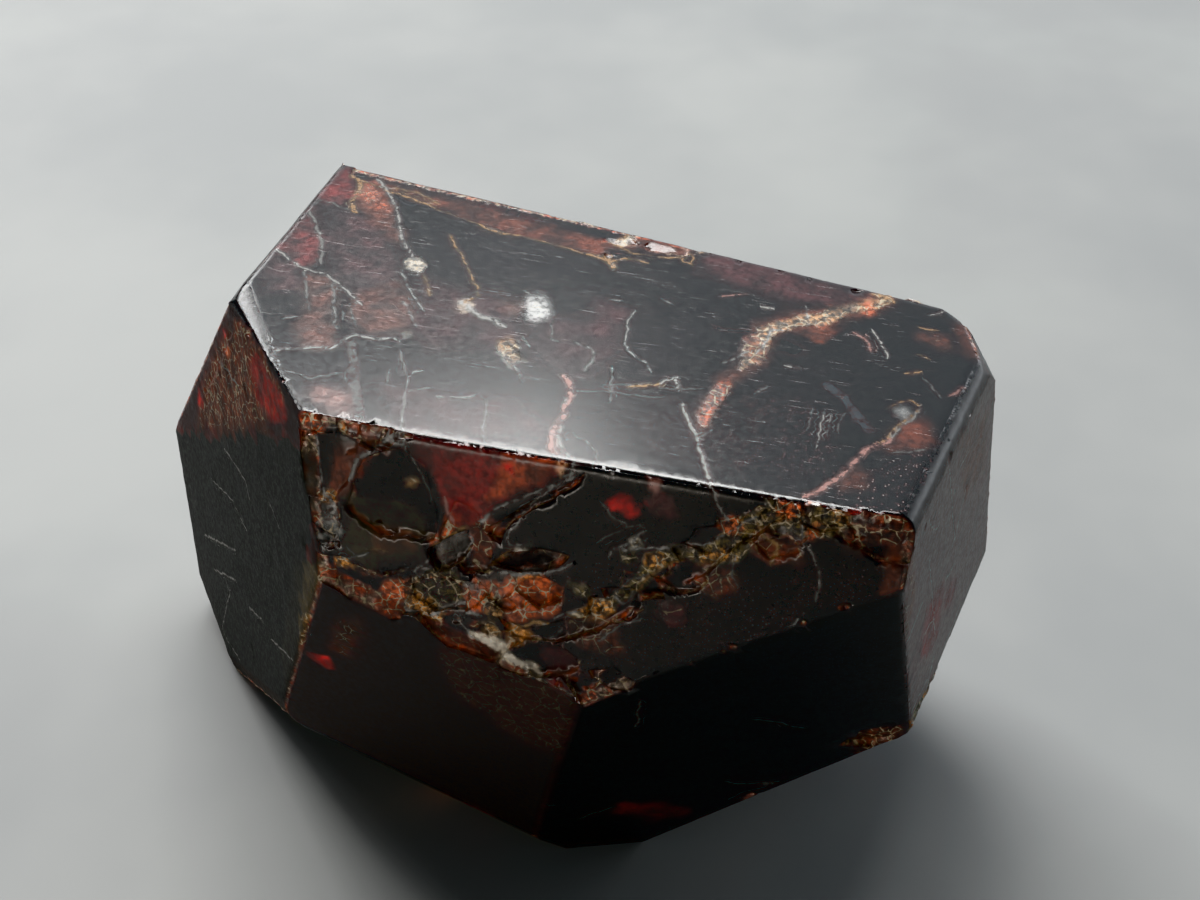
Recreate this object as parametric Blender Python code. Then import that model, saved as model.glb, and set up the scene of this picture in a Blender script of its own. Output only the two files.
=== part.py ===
"""A large garnet crystal, polished on its faces: one solid piece of dark red garnet.

The body is a block cut by planes. Each plane is a crystal face, given by the compass bearing
and the tilt of its outward normal in degrees, and its distance from the axis point in
millimetres. Broken ledges, sunken plates, chips and pits are then cut into the faces.
"""

import math
import random

import bmesh
import bpy
from mathutils import Matrix, Vector

MM = 0.001
BLOCK = 160.0
HEIGHT = 34.0

# Faces: bearing of the outward normal, its tilt above the horizontal, distance from the origin.
FACES = {
    "top": (-90.0, 90.0, HEIGHT),
    "base": (0.0, -90.0, 0.0),
    "front": (-90.0, 15.0, 20.7),
    "left": (-138.0, 5.0, 16.2),
    "right": (-10.0, 1.5, 25.7),
    "lower_left": (-99.0, -12.5, 9.3),
    "lower_right": (-69.0, -18.0, 10.1),
    "under_left": (-107.0, -38.0, 5.8),
    "under_corner": (-155.0, -40.0, 15.2),
    "under_right": (-10.0, -46.0, 7.6),
    "under_back": (100.0, -55.0, 4.4),
    "back_upper": (81.0, 16.0, 17.6),
    "back_lower": (95.0, -22.0, 8.3),
    "right_rear": (45.0, 17.0, 28.6),
    "rear_corner": (20.0, 30.0, 37.5),
    "left_upper": (178.0, 32.0, 30.1),
    "left_rear": (170.0, -10.0, 25.2),
    "right_bevel": (-10.0, 45.0, 41.05),
    "left_nick": (-145.0, 55.0, 35.2),
}

# Edges worn round: the two faces, the depth taken off the edge, the number of cuts.
WORN_EDGES = (
    ("left", "under_left", 0.45, 2),
    ("left", "under_corner", 0.45, 2),
    ("left", "left_rear", 0.30, 2),
    ("left", "left_upper", 0.10, 1),
    ("left", "lower_left", 0.10, 1),
    ("lower_left", "lower_right", 0.08, 1),
    ("lower_left", "under_left", 0.12, 1),
    ("left_rear", "left_upper", 0.45, 2),
    ("back_upper", "back_lower", 0.35, 2),
    ("right", "under_right", 0.10, 1),
    ("right_rear", "right", 0.12, 1),
    ("rear_corner", "right_rear", 0.10, 1),
    ("rear_corner", "top", 0.12, 1),
    ("right_rear", "back_upper", 0.20, 1),
    ("front", "right", 0.12, 1),
)

EDGE_ROUND = 0.18
EDGE_SEGMENTS = 2

# Sunken plates: the face, then the depth of the flat floor at the plate's middle and how much
# deeper it gets for each millimetre across and up, then the outline as (across, up).
PLATES = {
    "corner_ledge": (
        "front", (0.50, -0.22, 0.06),
        ((-7.2, 28.7), (-5.3, 28.9), (-4.7, 29.3), (-3.8, 28.6), (-4.4, 26.6), (-5.1, 25.3),
         (-7.0, 25.1)),
    ),
    "corner_rim": (
        "front", (0.32, -0.05, 0.10),
        ((-7.6, 28.6), (-5.3, 28.8), (-4.6, 29.2), (-2.4, 29.0), (-1.0, 29.5), (-1.2, 30.6),
         (-7.4, 30.6)),
    ),
    "shadow_plate": (
        "front", (0.26, 0.05, -0.05),
        ((-3.6, 27.9), (-2.3, 28.7), (-1.6, 28.9), (-0.4, 28.2), (0.2, 26.0), (0.2, 24.2),
         (-2.6, 23.9), (-4.5, 25.2)),
    ),
    "corner_cavity": (
        "front", (0.75, 0.10, 0.20),
        ((-0.2, 23.6), (1.7, 24.9), (2.1, 24.2), (1.6, 23.2), (0.4, 22.4)),
    ),
    "amber_seam": (
        "front", (0.28, 0.06, -0.08),
        ((0.4, 24.4), (1.2, 26.6), (2.4, 26.1), (3.2, 24.2), (3.0, 22.8), (1.8, 22.6)),
    ),
    "slanting_ledge": (
        "front", (0.26, 0.10, -0.14),
        ((2.6, 25.2), (4.6, 26.9), (7.6, 29.3), (6.9, 28.3), (5.2, 26.9), (3.7, 25.3),
         (3.6, 24.6)),
    ),
    "dark_lens": (
        "front", (0.60, -0.06, 0.45),
        ((2.9, 23.5), (4.0, 24.3), (5.6, 24.8), (7.1, 24.7), (6.6, 24.0), (4.8, 23.3)),
    ),
    "left_band": (
        "front", (0.50, -0.04, -0.12),
        ((-6.6, 22.0), (-4.5, 22.3), (-3.1, 21.4), (-0.9, 22.0), (-1.5, 20.7), (-1.6, 19.0),
         (-3.0, 18.6), (-6.8, 20.7)),
    ),
    "dark_pocket": (
        "front", (0.70, 0.05, 0.15),
        ((-1.1, 21.2), (0.4, 22.0), (2.0, 21.6), (1.9, 20.3), (0.2, 19.9), (-0.9, 20.4)),
    ),
    "amber_step": (
        "front", (0.42, -0.05, -0.20),
        ((-0.9, 19.8), (1.7, 19.9), (3.4, 19.8), (5.4, 19.9), (3.4, 17.6), (0.8, 17.8)),
    ),
    "red_plate_foot": (
        "front", (0.34, 0.02, -0.05),
        ((3.6, 20.5), (5.0, 20.1), (6.7, 20.9), (8.6, 21.8), (10.2, 23.4), (11.6, 24.1),
         (10.6, 22.6), (8.8, 20.8), (6.4, 19.5), (4.4, 19.4)),
    ),
    "seam_upper": (
        "front", (0.32, 0.06, -0.03),
        ((11.2, 23.8), (12.7, 25.7), (14.4, 27.3), (15.9, 29.2), (17.4, 29.0), (15.9, 27.5),
         (14.2, 25.6), (12.4, 23.6)),
    ),
    "right_corner": (
        "front", (0.30, 0.08, 0.02),
        ((18.4, 29.1), (20.2, 29.5), (23.8, 29.9), (23.8, 27.2), (21.6, 27.4), (19.9, 28.2)),
    ),
    "small_plate": (
        "front", (0.20, 0.08, 0.05),
        ((15.9, 27.2), (17.4, 27.9), (18.1, 27.2), (16.6, 26.5)),
    ),
    "notch_tip": (
        "front", (0.45, 0.02, -0.15),
        ((7.4, 17.6), (8.6, 17.8), (10.3, 17.6), (10.6, 15.9), (8.4, 15.4)),
    ),
    "back_terrace": (
        "top", (0.20, 0.00, 0.035),
        ((-12.9, 9.7), (-11.8, 9.2), (-9.2, 8.0), (-6.5, 7.3), (-3.8, 6.5), (-1.3, 6.0),
         (2.5, 5.2), (4.3, 5.5), (8.2, 6.2), (9.4, 7.1), (9.4, 9.5), (-13.2, 12.8)),
    ),
    "rear_step": (
        "back_upper", (0.30, 0.01, -0.03),
        ((-22.0, 21.0), (-9.0, 23.5), (1.0, 20.4), (7.0, 14.0), (-3.0, 11.0), (-20.0, 13.0)),
    ),
    "rear_pocket": (
        "back_upper", (0.45, -0.05, 0.08),
        ((2.5, 27.5), (6.0, 28.6), (9.2, 26.2), (6.0, 23.6), (3.2, 24.6)),
    ),
    "rear_foot_step": (
        "back_lower", (0.30, 0.0, 0.04),
        ((-16.0, 14.0), (-4.0, 15.4), (6.0, 12.6), (2.0, 8.0), (-12.0, 8.2)),
    ),
}

RAGGED_STEP = 0.8
RAGGED_SIDE = 0.13
ABOVE_FACE = 0.6
THINNEST_FLOOR = 0.03

# Rows of broken ledges: the face, the row's two ends on it, how many, their width, how deep.
LEDGE_ROWS = {
    "rim_ledges": ("front", (-6.4, 28.9), (-2.4, 29.3), 4, 1.6, 0.40),
    "left_edge_ledges": ("front", (-6.2, 25.0), (-5.6, 22.6), 3, 1.7, 0.45),
    "notch_left_ledges": ("front", (-4.6, 21.0), (6.6, 18.0), 8, 2.3, 0.42),
    "amber_ledges": ("front", (-1.6, 21.6), (6.0, 22.0), 5, 1.8, 0.30),
    "seam_ledges": ("front", (8.8, 21.6), (15.6, 28.0), 7, 1.7, 0.30),
    "notch_tip_ledges": ("front", (7.6, 17.4), (10.4, 18.0), 3, 1.5, 0.40),
    "corner_ledges": ("front", (17.0, 28.8), (22.6, 28.6), 4, 1.6, 0.28),
    "terrace_ledges": ("top", (3.4, 7.2), (8.8, 6.8), 3, 1.6, 0.22),
    "foot_ledges": ("lower_right", (17.6, 16.8), (19.4, 18.6), 2, 2.0, 0.30),
    "rear_ledges": ("back_upper", (-8.0, 24.4), (8.0, 19.6), 5, 2.6, 0.35),
    "rear_foot_ledges": ("back_lower", (-12.0, 15.0), (4.0, 13.0), 4, 2.2, 0.35),
}
LEDGE_LEAN = 0.16
LEDGE_SCATTER = 0.5

# Rows of chips: the face, the row's two ends on it, how many, their width, how deep.
CHIP_ROWS = {
    "rim_chips": ("front", (-7.0, 29.5), (-1.0, 29.7), 6, 0.70, 0.30),
    "left_edge_chips": ("front", (-6.3, 25.2), (-5.6, 22.4), 4, 0.70, 0.35),
    "notch_left_chips": ("front", (-5.4, 21.0), (7.6, 17.2), 9, 0.65, 0.30),
    "notch_right_chips": ("front", (12.4, 19.0), (21.0, 24.8), 6, 0.45, 0.20),
    "amber_chips": ("front", (-2.8, 20.9), (5.8, 21.4), 7, 0.65, 0.28),
    "seam_chips": ("front", (8.6, 21.6), (15.4, 28.4), 8, 0.60, 0.26),
    "corner_chips": ("front", (17.4, 29.2), (22.8, 28.4), 4, 0.55, 0.26),
    "left_ridge_chips": ("top", (-12.6, -5.6), (-8.0, -11.0), 7, 0.40, 0.20),
    "rear_edge_chips": ("top", (9.0, 7.0), (19.0, 5.4), 6, 0.50, 0.24),
    "foot_chips": ("lower_right", (12.0, 9.6), (13.6, 10.0), 2, 0.90, 0.28),
    "rear_ridge_chips": ("back_upper", (-15.0, 10.0), (10.0, 9.0), 6, 0.80, 0.32),
}
CHIP_SCATTER = 0.3

# Single pits and nicks: the face, its place on the face, width and depth.
PITS = {
    "top_pit": ("top", (1.7, -0.6), 0.90, 0.35),
    "top_notch": ("top", (14.9, -0.2), 0.60, 0.30),
    "top_dot": ("top", (21.5, -4.6), 0.40, 0.25),
    "top_scar": ("top", (-0.6, -3.4), 1.10, 0.15),
    "bevel_nick": ("right_bevel", (-2.1, 5.9), 0.80, 0.25),
    "terrace_tooth": ("top", (4.0, 5.2), 0.70, 0.20),
    "left_pit": ("left", (-1.0, 21.0), 0.60, 0.20),
    "rear_pit": ("left_upper", (-4.0, 8.0), 0.90, 0.25),
}


def outward(bearing, tilt):
    """Unit vector of a compass bearing and a tilt above the horizontal."""
    flat = math.cos(math.radians(tilt))
    return Vector((
        flat * math.cos(math.radians(bearing)),
        flat * math.sin(math.radians(bearing)),
        math.sin(math.radians(tilt)),
    ))


def face_frame(name):
    """Matrix that takes (across, up, out) in millimetres on a face to the crystal."""
    bearing, tilt, distance = FACES[name]
    out = outward(bearing, tilt)
    across = outward(bearing + 90.0, 0.0)
    up = out.cross(across)
    frame = Matrix((across, up, out)).transposed().to_4x4()
    frame.translation = out * distance
    return frame


def keep_inside(mesh, normal, distance):
    """Cut away what lies past one plane, and close the cut."""
    parts = mesh.verts[:] + mesh.edges[:] + mesh.faces[:]
    cut = bmesh.ops.bisect_plane(
        mesh, geom=parts, dist=1e-4, plane_co=normal * distance, plane_no=normal, clear_outer=True
    )
    rim = [item for item in cut["geom_cut"] if isinstance(item, bmesh.types.BMEdge)]
    if rim:
        bmesh.ops.edgeloop_fill(mesh, edges=rim)


def wear_edge(mesh, first, second, depth, cuts):
    """Take an edge between two faces down to a narrow round of flat strips."""
    first_out, second_out = (outward(*FACES[name][:2]) for name in (first, second))
    for step in range(1, cuts + 1):
        share = step / (cuts + 1)
        blend = first_out * (1.0 - share) + second_out * share
        reach = FACES[first][2] * (1.0 - share) + FACES[second][2] * share
        keep_inside(mesh, blend.normalized(), reach / blend.length - depth)


def add_object(name, mesh):
    """Put a bmesh drawn in millimetres into the scene as an object in metres."""
    bmesh.ops.scale(mesh, vec=(MM, MM, MM), verts=mesh.verts)
    bmesh.ops.recalc_face_normals(mesh, faces=mesh.faces)
    data = bpy.data.meshes.new(name)
    mesh.to_mesh(data)
    mesh.free()
    made = bpy.data.objects.new(name, data)
    bpy.context.scene.collection.objects.link(made)
    return made


def ragged(outline, dice):
    """The outline with its sides broken into short, uneven steps."""
    points = []
    for start, end in zip(outline, outline[1:] + outline[:1]):
        start, end = Vector(start), Vector(end)
        steps = max(1, round((end - start).length / RAGGED_STEP))
        side = (end - start).orthogonal().normalized()
        points.append(start)
        for step in range(1, steps):
            wobble = dice.uniform(-RAGGED_SIDE, RAGGED_SIDE)
            points.append(start.lerp(end, step / steps) + side * wobble)
    return points


def plate_cutter(name, face, floor_plane, outline):
    """A slab that takes a flat, leaning floor out of a face."""
    depth, deeper_across, deeper_up = floor_plane
    points = ragged(outline, random.Random(name))
    middle = sum((Vector(corner) for corner in outline), Vector((0.0, 0.0))) / len(outline)
    mesh = bmesh.new()
    lid, floor = [], []
    for point in points:
        off = point - middle
        drop = max(THINNEST_FLOOR, depth + deeper_across * off.x + deeper_up * off.y)
        lid.append(mesh.verts.new((point.x, point.y, ABOVE_FACE)))
        floor.append(mesh.verts.new((point.x, point.y, -drop)))
    mesh.faces.new(lid)
    mesh.faces.new(floor[::-1])
    for here in range(len(points)):
        mesh.faces.new((lid[here - 1], floor[here - 1], floor[here], lid[here]))
    mesh.transform(face_frame(face))
    return add_object(name, mesh)


def chip_cutter(name, face, place, width, depth):
    """An uneven stone shape sunk to a depth, which leaves a small broken scoop."""
    dice = random.Random(name)
    mesh = bmesh.new()
    bmesh.ops.create_icosphere(mesh, subdivisions=1, radius=0.5)
    for vert in mesh.verts:
        vert.co *= dice.uniform(0.75, 1.15)
    turn = Matrix.Rotation(dice.uniform(0.0, math.tau), 4, "Z")
    size = Matrix.Diagonal((width * dice.uniform(1.0, 1.7), width, 2.4 * depth, 1.0))
    spot = Matrix.Translation((place[0], place[1], 0.2 * depth))
    mesh.transform(face_frame(face) @ spot @ turn @ size)
    return add_object(name, mesh)


def scattered(dice, reach):
    """A small random step in a face's plane."""
    return Vector((dice.uniform(-reach, reach), dice.uniform(-reach, reach)))


def ledge_row(name, face, start, end, count, width, depth):
    """Overlapping angular ledges along a line on a face, each with its own leaning floor."""
    dice = random.Random(name)
    made = []
    for index in range(count):
        middle = Vector(start).lerp(Vector(end), (index + 0.5) / count)
        middle += scattered(dice, LEDGE_SCATTER)
        corners = dice.randint(5, 7)
        first = dice.uniform(0.0, math.tau)
        outline = []
        for corner in range(corners):
            angle = first + math.tau * (corner + dice.uniform(-0.25, 0.25)) / corners
            reach = width * dice.uniform(0.35, 0.65)
            outline.append(middle + reach * Vector((1.3 * math.cos(angle), math.sin(angle))))
        lean = scattered(dice, LEDGE_LEAN)
        floor_plane = (depth * dice.uniform(0.6, 1.2), lean.x, lean.y)
        made.append(plate_cutter(f"{name}_{index + 1}", face, floor_plane, tuple(outline)))
    return made


def chip_row(name, face, start, end, count, width, depth):
    """Chips of uneven size scattered along a line on a face."""
    dice = random.Random(name)
    made = []
    for index in range(count):
        share = (index + dice.uniform(0.1, 0.9)) / count
        place = Vector(start).lerp(Vector(end), share) + scattered(dice, CHIP_SCATTER)
        scale = dice.uniform(0.6, 1.25)
        made.append(chip_cutter(f"{name}_{index + 1}", face, place, width * scale, depth * scale))
    return made


def crystal_body():
    """The block with its faces cut and its worn edges taken down."""
    mesh = bmesh.new()
    bmesh.ops.create_cube(mesh, size=BLOCK)
    for bearing, tilt, distance in FACES.values():
        keep_inside(mesh, outward(bearing, tilt), distance)
    for edge in WORN_EDGES:
        wear_edge(mesh, *edge)
    bmesh.ops.remove_doubles(mesh, verts=mesh.verts, dist=0.02)
    return add_object("garnet_crystal", mesh)


def garnet_material():
    """Dark red, clear garnet with a polished surface."""
    material = bpy.data.materials.new("garnet")
    material.use_nodes = True
    shader = material.node_tree.nodes["Principled BSDF"]
    shader.inputs["Base Color"].default_value = (0.16, 0.012, 0.010, 1.0)
    shader.inputs["Roughness"].default_value = 0.08
    shader.inputs["Metallic"].default_value = 0.0
    shader.inputs["IOR"].default_value = 1.79
    shader.inputs["Transmission Weight"].default_value = 0.7
    material.diffuse_color = (0.16, 0.012, 0.010, 1.0)
    return material


def soften(crystal):
    """A fine round on every clear edge."""
    bevel = crystal.modifiers.new("edge_round", "BEVEL")
    bevel.width = EDGE_ROUND * MM
    bevel.segments = EDGE_SEGMENTS
    bevel.limit_method = "ANGLE"
    bevel.angle_limit = math.radians(25.0)


def carve(crystal, cutters):
    """Cut every ledge, chip and pit into the crystal."""
    for cutter in cutters:
        cutter.hide_render = True
        cutter.display_type = "WIRE"
        cut = crystal.modifiers.new(cutter.name, "BOOLEAN")
        cut.operation = "DIFFERENCE"
        cut.object = cutter


def stand_on_origin(crystal, others):
    """Set the crystal so that the origin is under the middle of its box, on the base."""
    corners = [vert.co for vert in crystal.data.vertices]
    middle = [(min(c[i] for c in corners) + max(c[i] for c in corners)) / 2.0 for i in range(2)]
    for item in (crystal, *others):
        item.data.transform(Matrix.Translation((-middle[0], -middle[1], 0.0)))


def main():
    for old in list(bpy.data.objects):
        bpy.data.objects.remove(old, do_unlink=True)
    crystal = crystal_body()
    crystal.data.materials.append(garnet_material())
    cutters = [plate_cutter(name, *plate) for name, plate in PLATES.items()]
    for name, row in LEDGE_ROWS.items():
        cutters += ledge_row(name, *row)
    for name, row in CHIP_ROWS.items():
        cutters += chip_row(name, *row)
    cutters += [chip_cutter(name, *pit) for name, pit in PITS.items()]
    stand_on_origin(crystal, cutters)
    soften(crystal)
    carve(crystal, cutters)


main()
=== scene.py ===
"""The looks of a polished garnet crystal: dark red, see-through where it is thin, with broken
granular bands, healed cracks and stains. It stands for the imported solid, on a pale floor."""

import math
import random

import bmesh
import bpy
import numpy as np
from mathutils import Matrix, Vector


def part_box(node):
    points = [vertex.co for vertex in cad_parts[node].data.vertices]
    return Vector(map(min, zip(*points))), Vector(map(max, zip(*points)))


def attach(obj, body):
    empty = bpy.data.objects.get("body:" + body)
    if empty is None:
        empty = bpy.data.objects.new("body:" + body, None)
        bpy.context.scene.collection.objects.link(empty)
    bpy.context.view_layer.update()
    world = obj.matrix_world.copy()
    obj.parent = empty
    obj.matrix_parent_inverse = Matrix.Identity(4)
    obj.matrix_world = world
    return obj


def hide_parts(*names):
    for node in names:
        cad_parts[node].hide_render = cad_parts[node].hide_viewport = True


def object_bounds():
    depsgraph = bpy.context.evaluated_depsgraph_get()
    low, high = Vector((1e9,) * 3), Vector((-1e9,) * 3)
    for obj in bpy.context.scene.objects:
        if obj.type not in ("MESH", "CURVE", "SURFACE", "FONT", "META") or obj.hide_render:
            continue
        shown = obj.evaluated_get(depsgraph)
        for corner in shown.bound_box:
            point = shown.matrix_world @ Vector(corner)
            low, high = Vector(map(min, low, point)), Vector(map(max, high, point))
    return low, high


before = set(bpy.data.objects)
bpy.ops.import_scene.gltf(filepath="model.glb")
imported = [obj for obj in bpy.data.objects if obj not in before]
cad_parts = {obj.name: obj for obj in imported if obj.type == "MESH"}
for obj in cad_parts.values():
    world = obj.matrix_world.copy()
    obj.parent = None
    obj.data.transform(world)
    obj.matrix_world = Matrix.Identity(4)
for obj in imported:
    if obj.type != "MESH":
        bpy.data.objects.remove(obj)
cad_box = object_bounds()

MM = 0.001
NODE = "garnet_crystal"

# The faces are measured from this axis, in millimetres of the frame.
AXIS = np.array((-0.305, 0.140, 0.0))

# Outward normal of each face: its bearing from +X towards +Y and its tilt above the horizontal.
FACES = {
    "top": (-90.0, 90.0),
    "base": (0.0, -90.0),
    "front": (-90.0, 15.0),
    "left": (-138.0, 5.0),
    "right": (-10.0, 1.5),
    "lower_left": (-99.0, -12.5),
    "lower_right": (-69.0, -18.0),
    "under_left": (-107.0, -38.0),
    "under_corner": (-155.0, -40.0),
    "under_right": (-10.0, -46.0),
    "under_back": (100.0, -55.0),
    "back_upper": (81.0, 16.0),
    "back_lower": (95.0, -22.0),
    "right_rear": (45.0, 17.0),
    "rear_corner": (20.0, 30.0),
    "left_upper": (178.0, 32.0),
    "left_rear": (170.0, -10.0),
    "right_bevel": (-10.0, 45.0),
    "left_nick": (-145.0, 55.0),
}
FACE_NAMES = tuple(FACES)

BODY_COLOUR = (0.42, 0.030, 0.018)
BODY_COLOUR4 = (*BODY_COLOUR, 1.0)
DUST_COLOUR = (0.60, 0.60, 0.57, 1.0)
NET_COLOUR = (0.86, 0.70, 0.48, 1.0)
GARNET_IOR = 1.79
ABSORBED_COLOUR = (0.64, 0.03, 0.015, 1.0)
ABSORBED_DENSITY = 1500.0

# How marks meet the stone around them, in millimetres.
EDGE_RAG = 0.30
EDGE_SOFT = 0.16
DEEP_SOFT = 0.55
CRACK_REACH = 0.34
FAR = 99.0
GRITTY = 0.35
HIDES_NOTHING = 1e-3
TURN_COST = 0.6

# Pits of the solid that are stains here, and one notch on the top that is painted shade: the face, the
# place and the reach.
FILLED = (
    ("top", (1.7, -0.6), 1.1), ("top", (-0.6, -3.4), 1.4), ("top", (14.9, -0.2), 0.9),
    ("top", (21.5, -4.6), 0.7), ("right_bevel", (-2.1, 5.9), 1.1),
    ("left_upper", (-4.0, 8.0), 1.3), ("left", (-1.0, 21.0), 1.0),
)

# Chips of the solid that are shallower here: from, to, reach and the depth kept.
HEALED = {
    "top": (
        ((9.0, 7.0), (19.5, 5.3), 1.10, 0.25), ((-12.8, -5.4), (-7.8, -11.2), 1.0, 0.25),
        ((-7.0, -12.0), (-1.0, -12.3), 1.0, 0.35), ((16.5, -12.4), (23.2, -12.4), 1.0, 0.30),
    ),
}
HEAL_DEPTH = 0.8

# The marks on a face this high up it go on to its upper edge.
BRIM = {"front": 29.2}

# Narrow faces that stand further out here, and so are narrower, in millimetres.
NARROWED = {"left_nick": 0.26, "right_bevel": 0.16}

# How far from an edge the faces start to turn into each other, and the spacing there.
EDGE_ROUND = 0.42
SIDE_ROUND = 0.26
LEAST_ROUND = 1e-3
EDGE_SPACING = 0.17
BROKEN_SPACING = 0.36
POLISHED = ("top", "left_nick", "right_bevel")
BROKEN_DEPTH = (0.02, 0.07)
BROKEN_TURN = (0.02, 0.10)

# Splitting the solid's mesh.
WELD = 1e-6
WELD_MM = 1e-3
MOST_SPLITS = 8
SPLIT_OVER = 1.45
FLAT = 0.01
SHARP = math.radians(32.0)

# The room: bearing from +Y towards +X, elevation, distance, size, power and colour of each light.
SOFTBOXES = (
    ("key", -40.0, 57.0, 0.45, (0.30, 0.22), 1.62, (1.0, 0.99, 0.97)),
    ("rim", 0.0, 66.0, 0.45, (0.24, 0.13), 0.46, (1.0, 0.99, 0.98)),
    ("window", -5.0, 24.0, 0.60, (0.80, 0.55), 1.04, (0.88, 0.95, 1.0)),
    ("side", -54.0, 26.0, 0.50, (0.26, 0.14), 0.74, (1.0, 1.0, 1.0)),
    ("rear", 48.0, 14.0, 0.50, (0.40, 0.28), 0.64, (0.92, 0.96, 1.0)),
    ("fill", 202.0, 9.0, 0.60, (0.30, 0.10), 0.56, (1.0, 0.93, 0.84)),
)
LIGHT_AIM = Vector((0.0, 0.0, 0.02))
ROOM_COLOUR = (0.80, 0.90, 1.0, 1.0)
ROOM_STRENGTH = 0.09
FLOOR_SIDE = 6.0
FLOOR_LIGHT = (0.44, 0.45, 0.44, 1.0)
FLOOR_DARK = (0.37, 0.38, 0.38, 1.0)

CAMERA_AZIMUTH = 15.0
CAMERA_ELEVATION = 40.0
CAMERA_DISTANCE = 0.103
CAMERA_TARGET = Vector((2.895, 6.740, 1.700)) * MM
LENS = 50.0
SENSOR = 36.0
VIEW_WIDTH, VIEW_HEIGHT = 1200, 900
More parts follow.
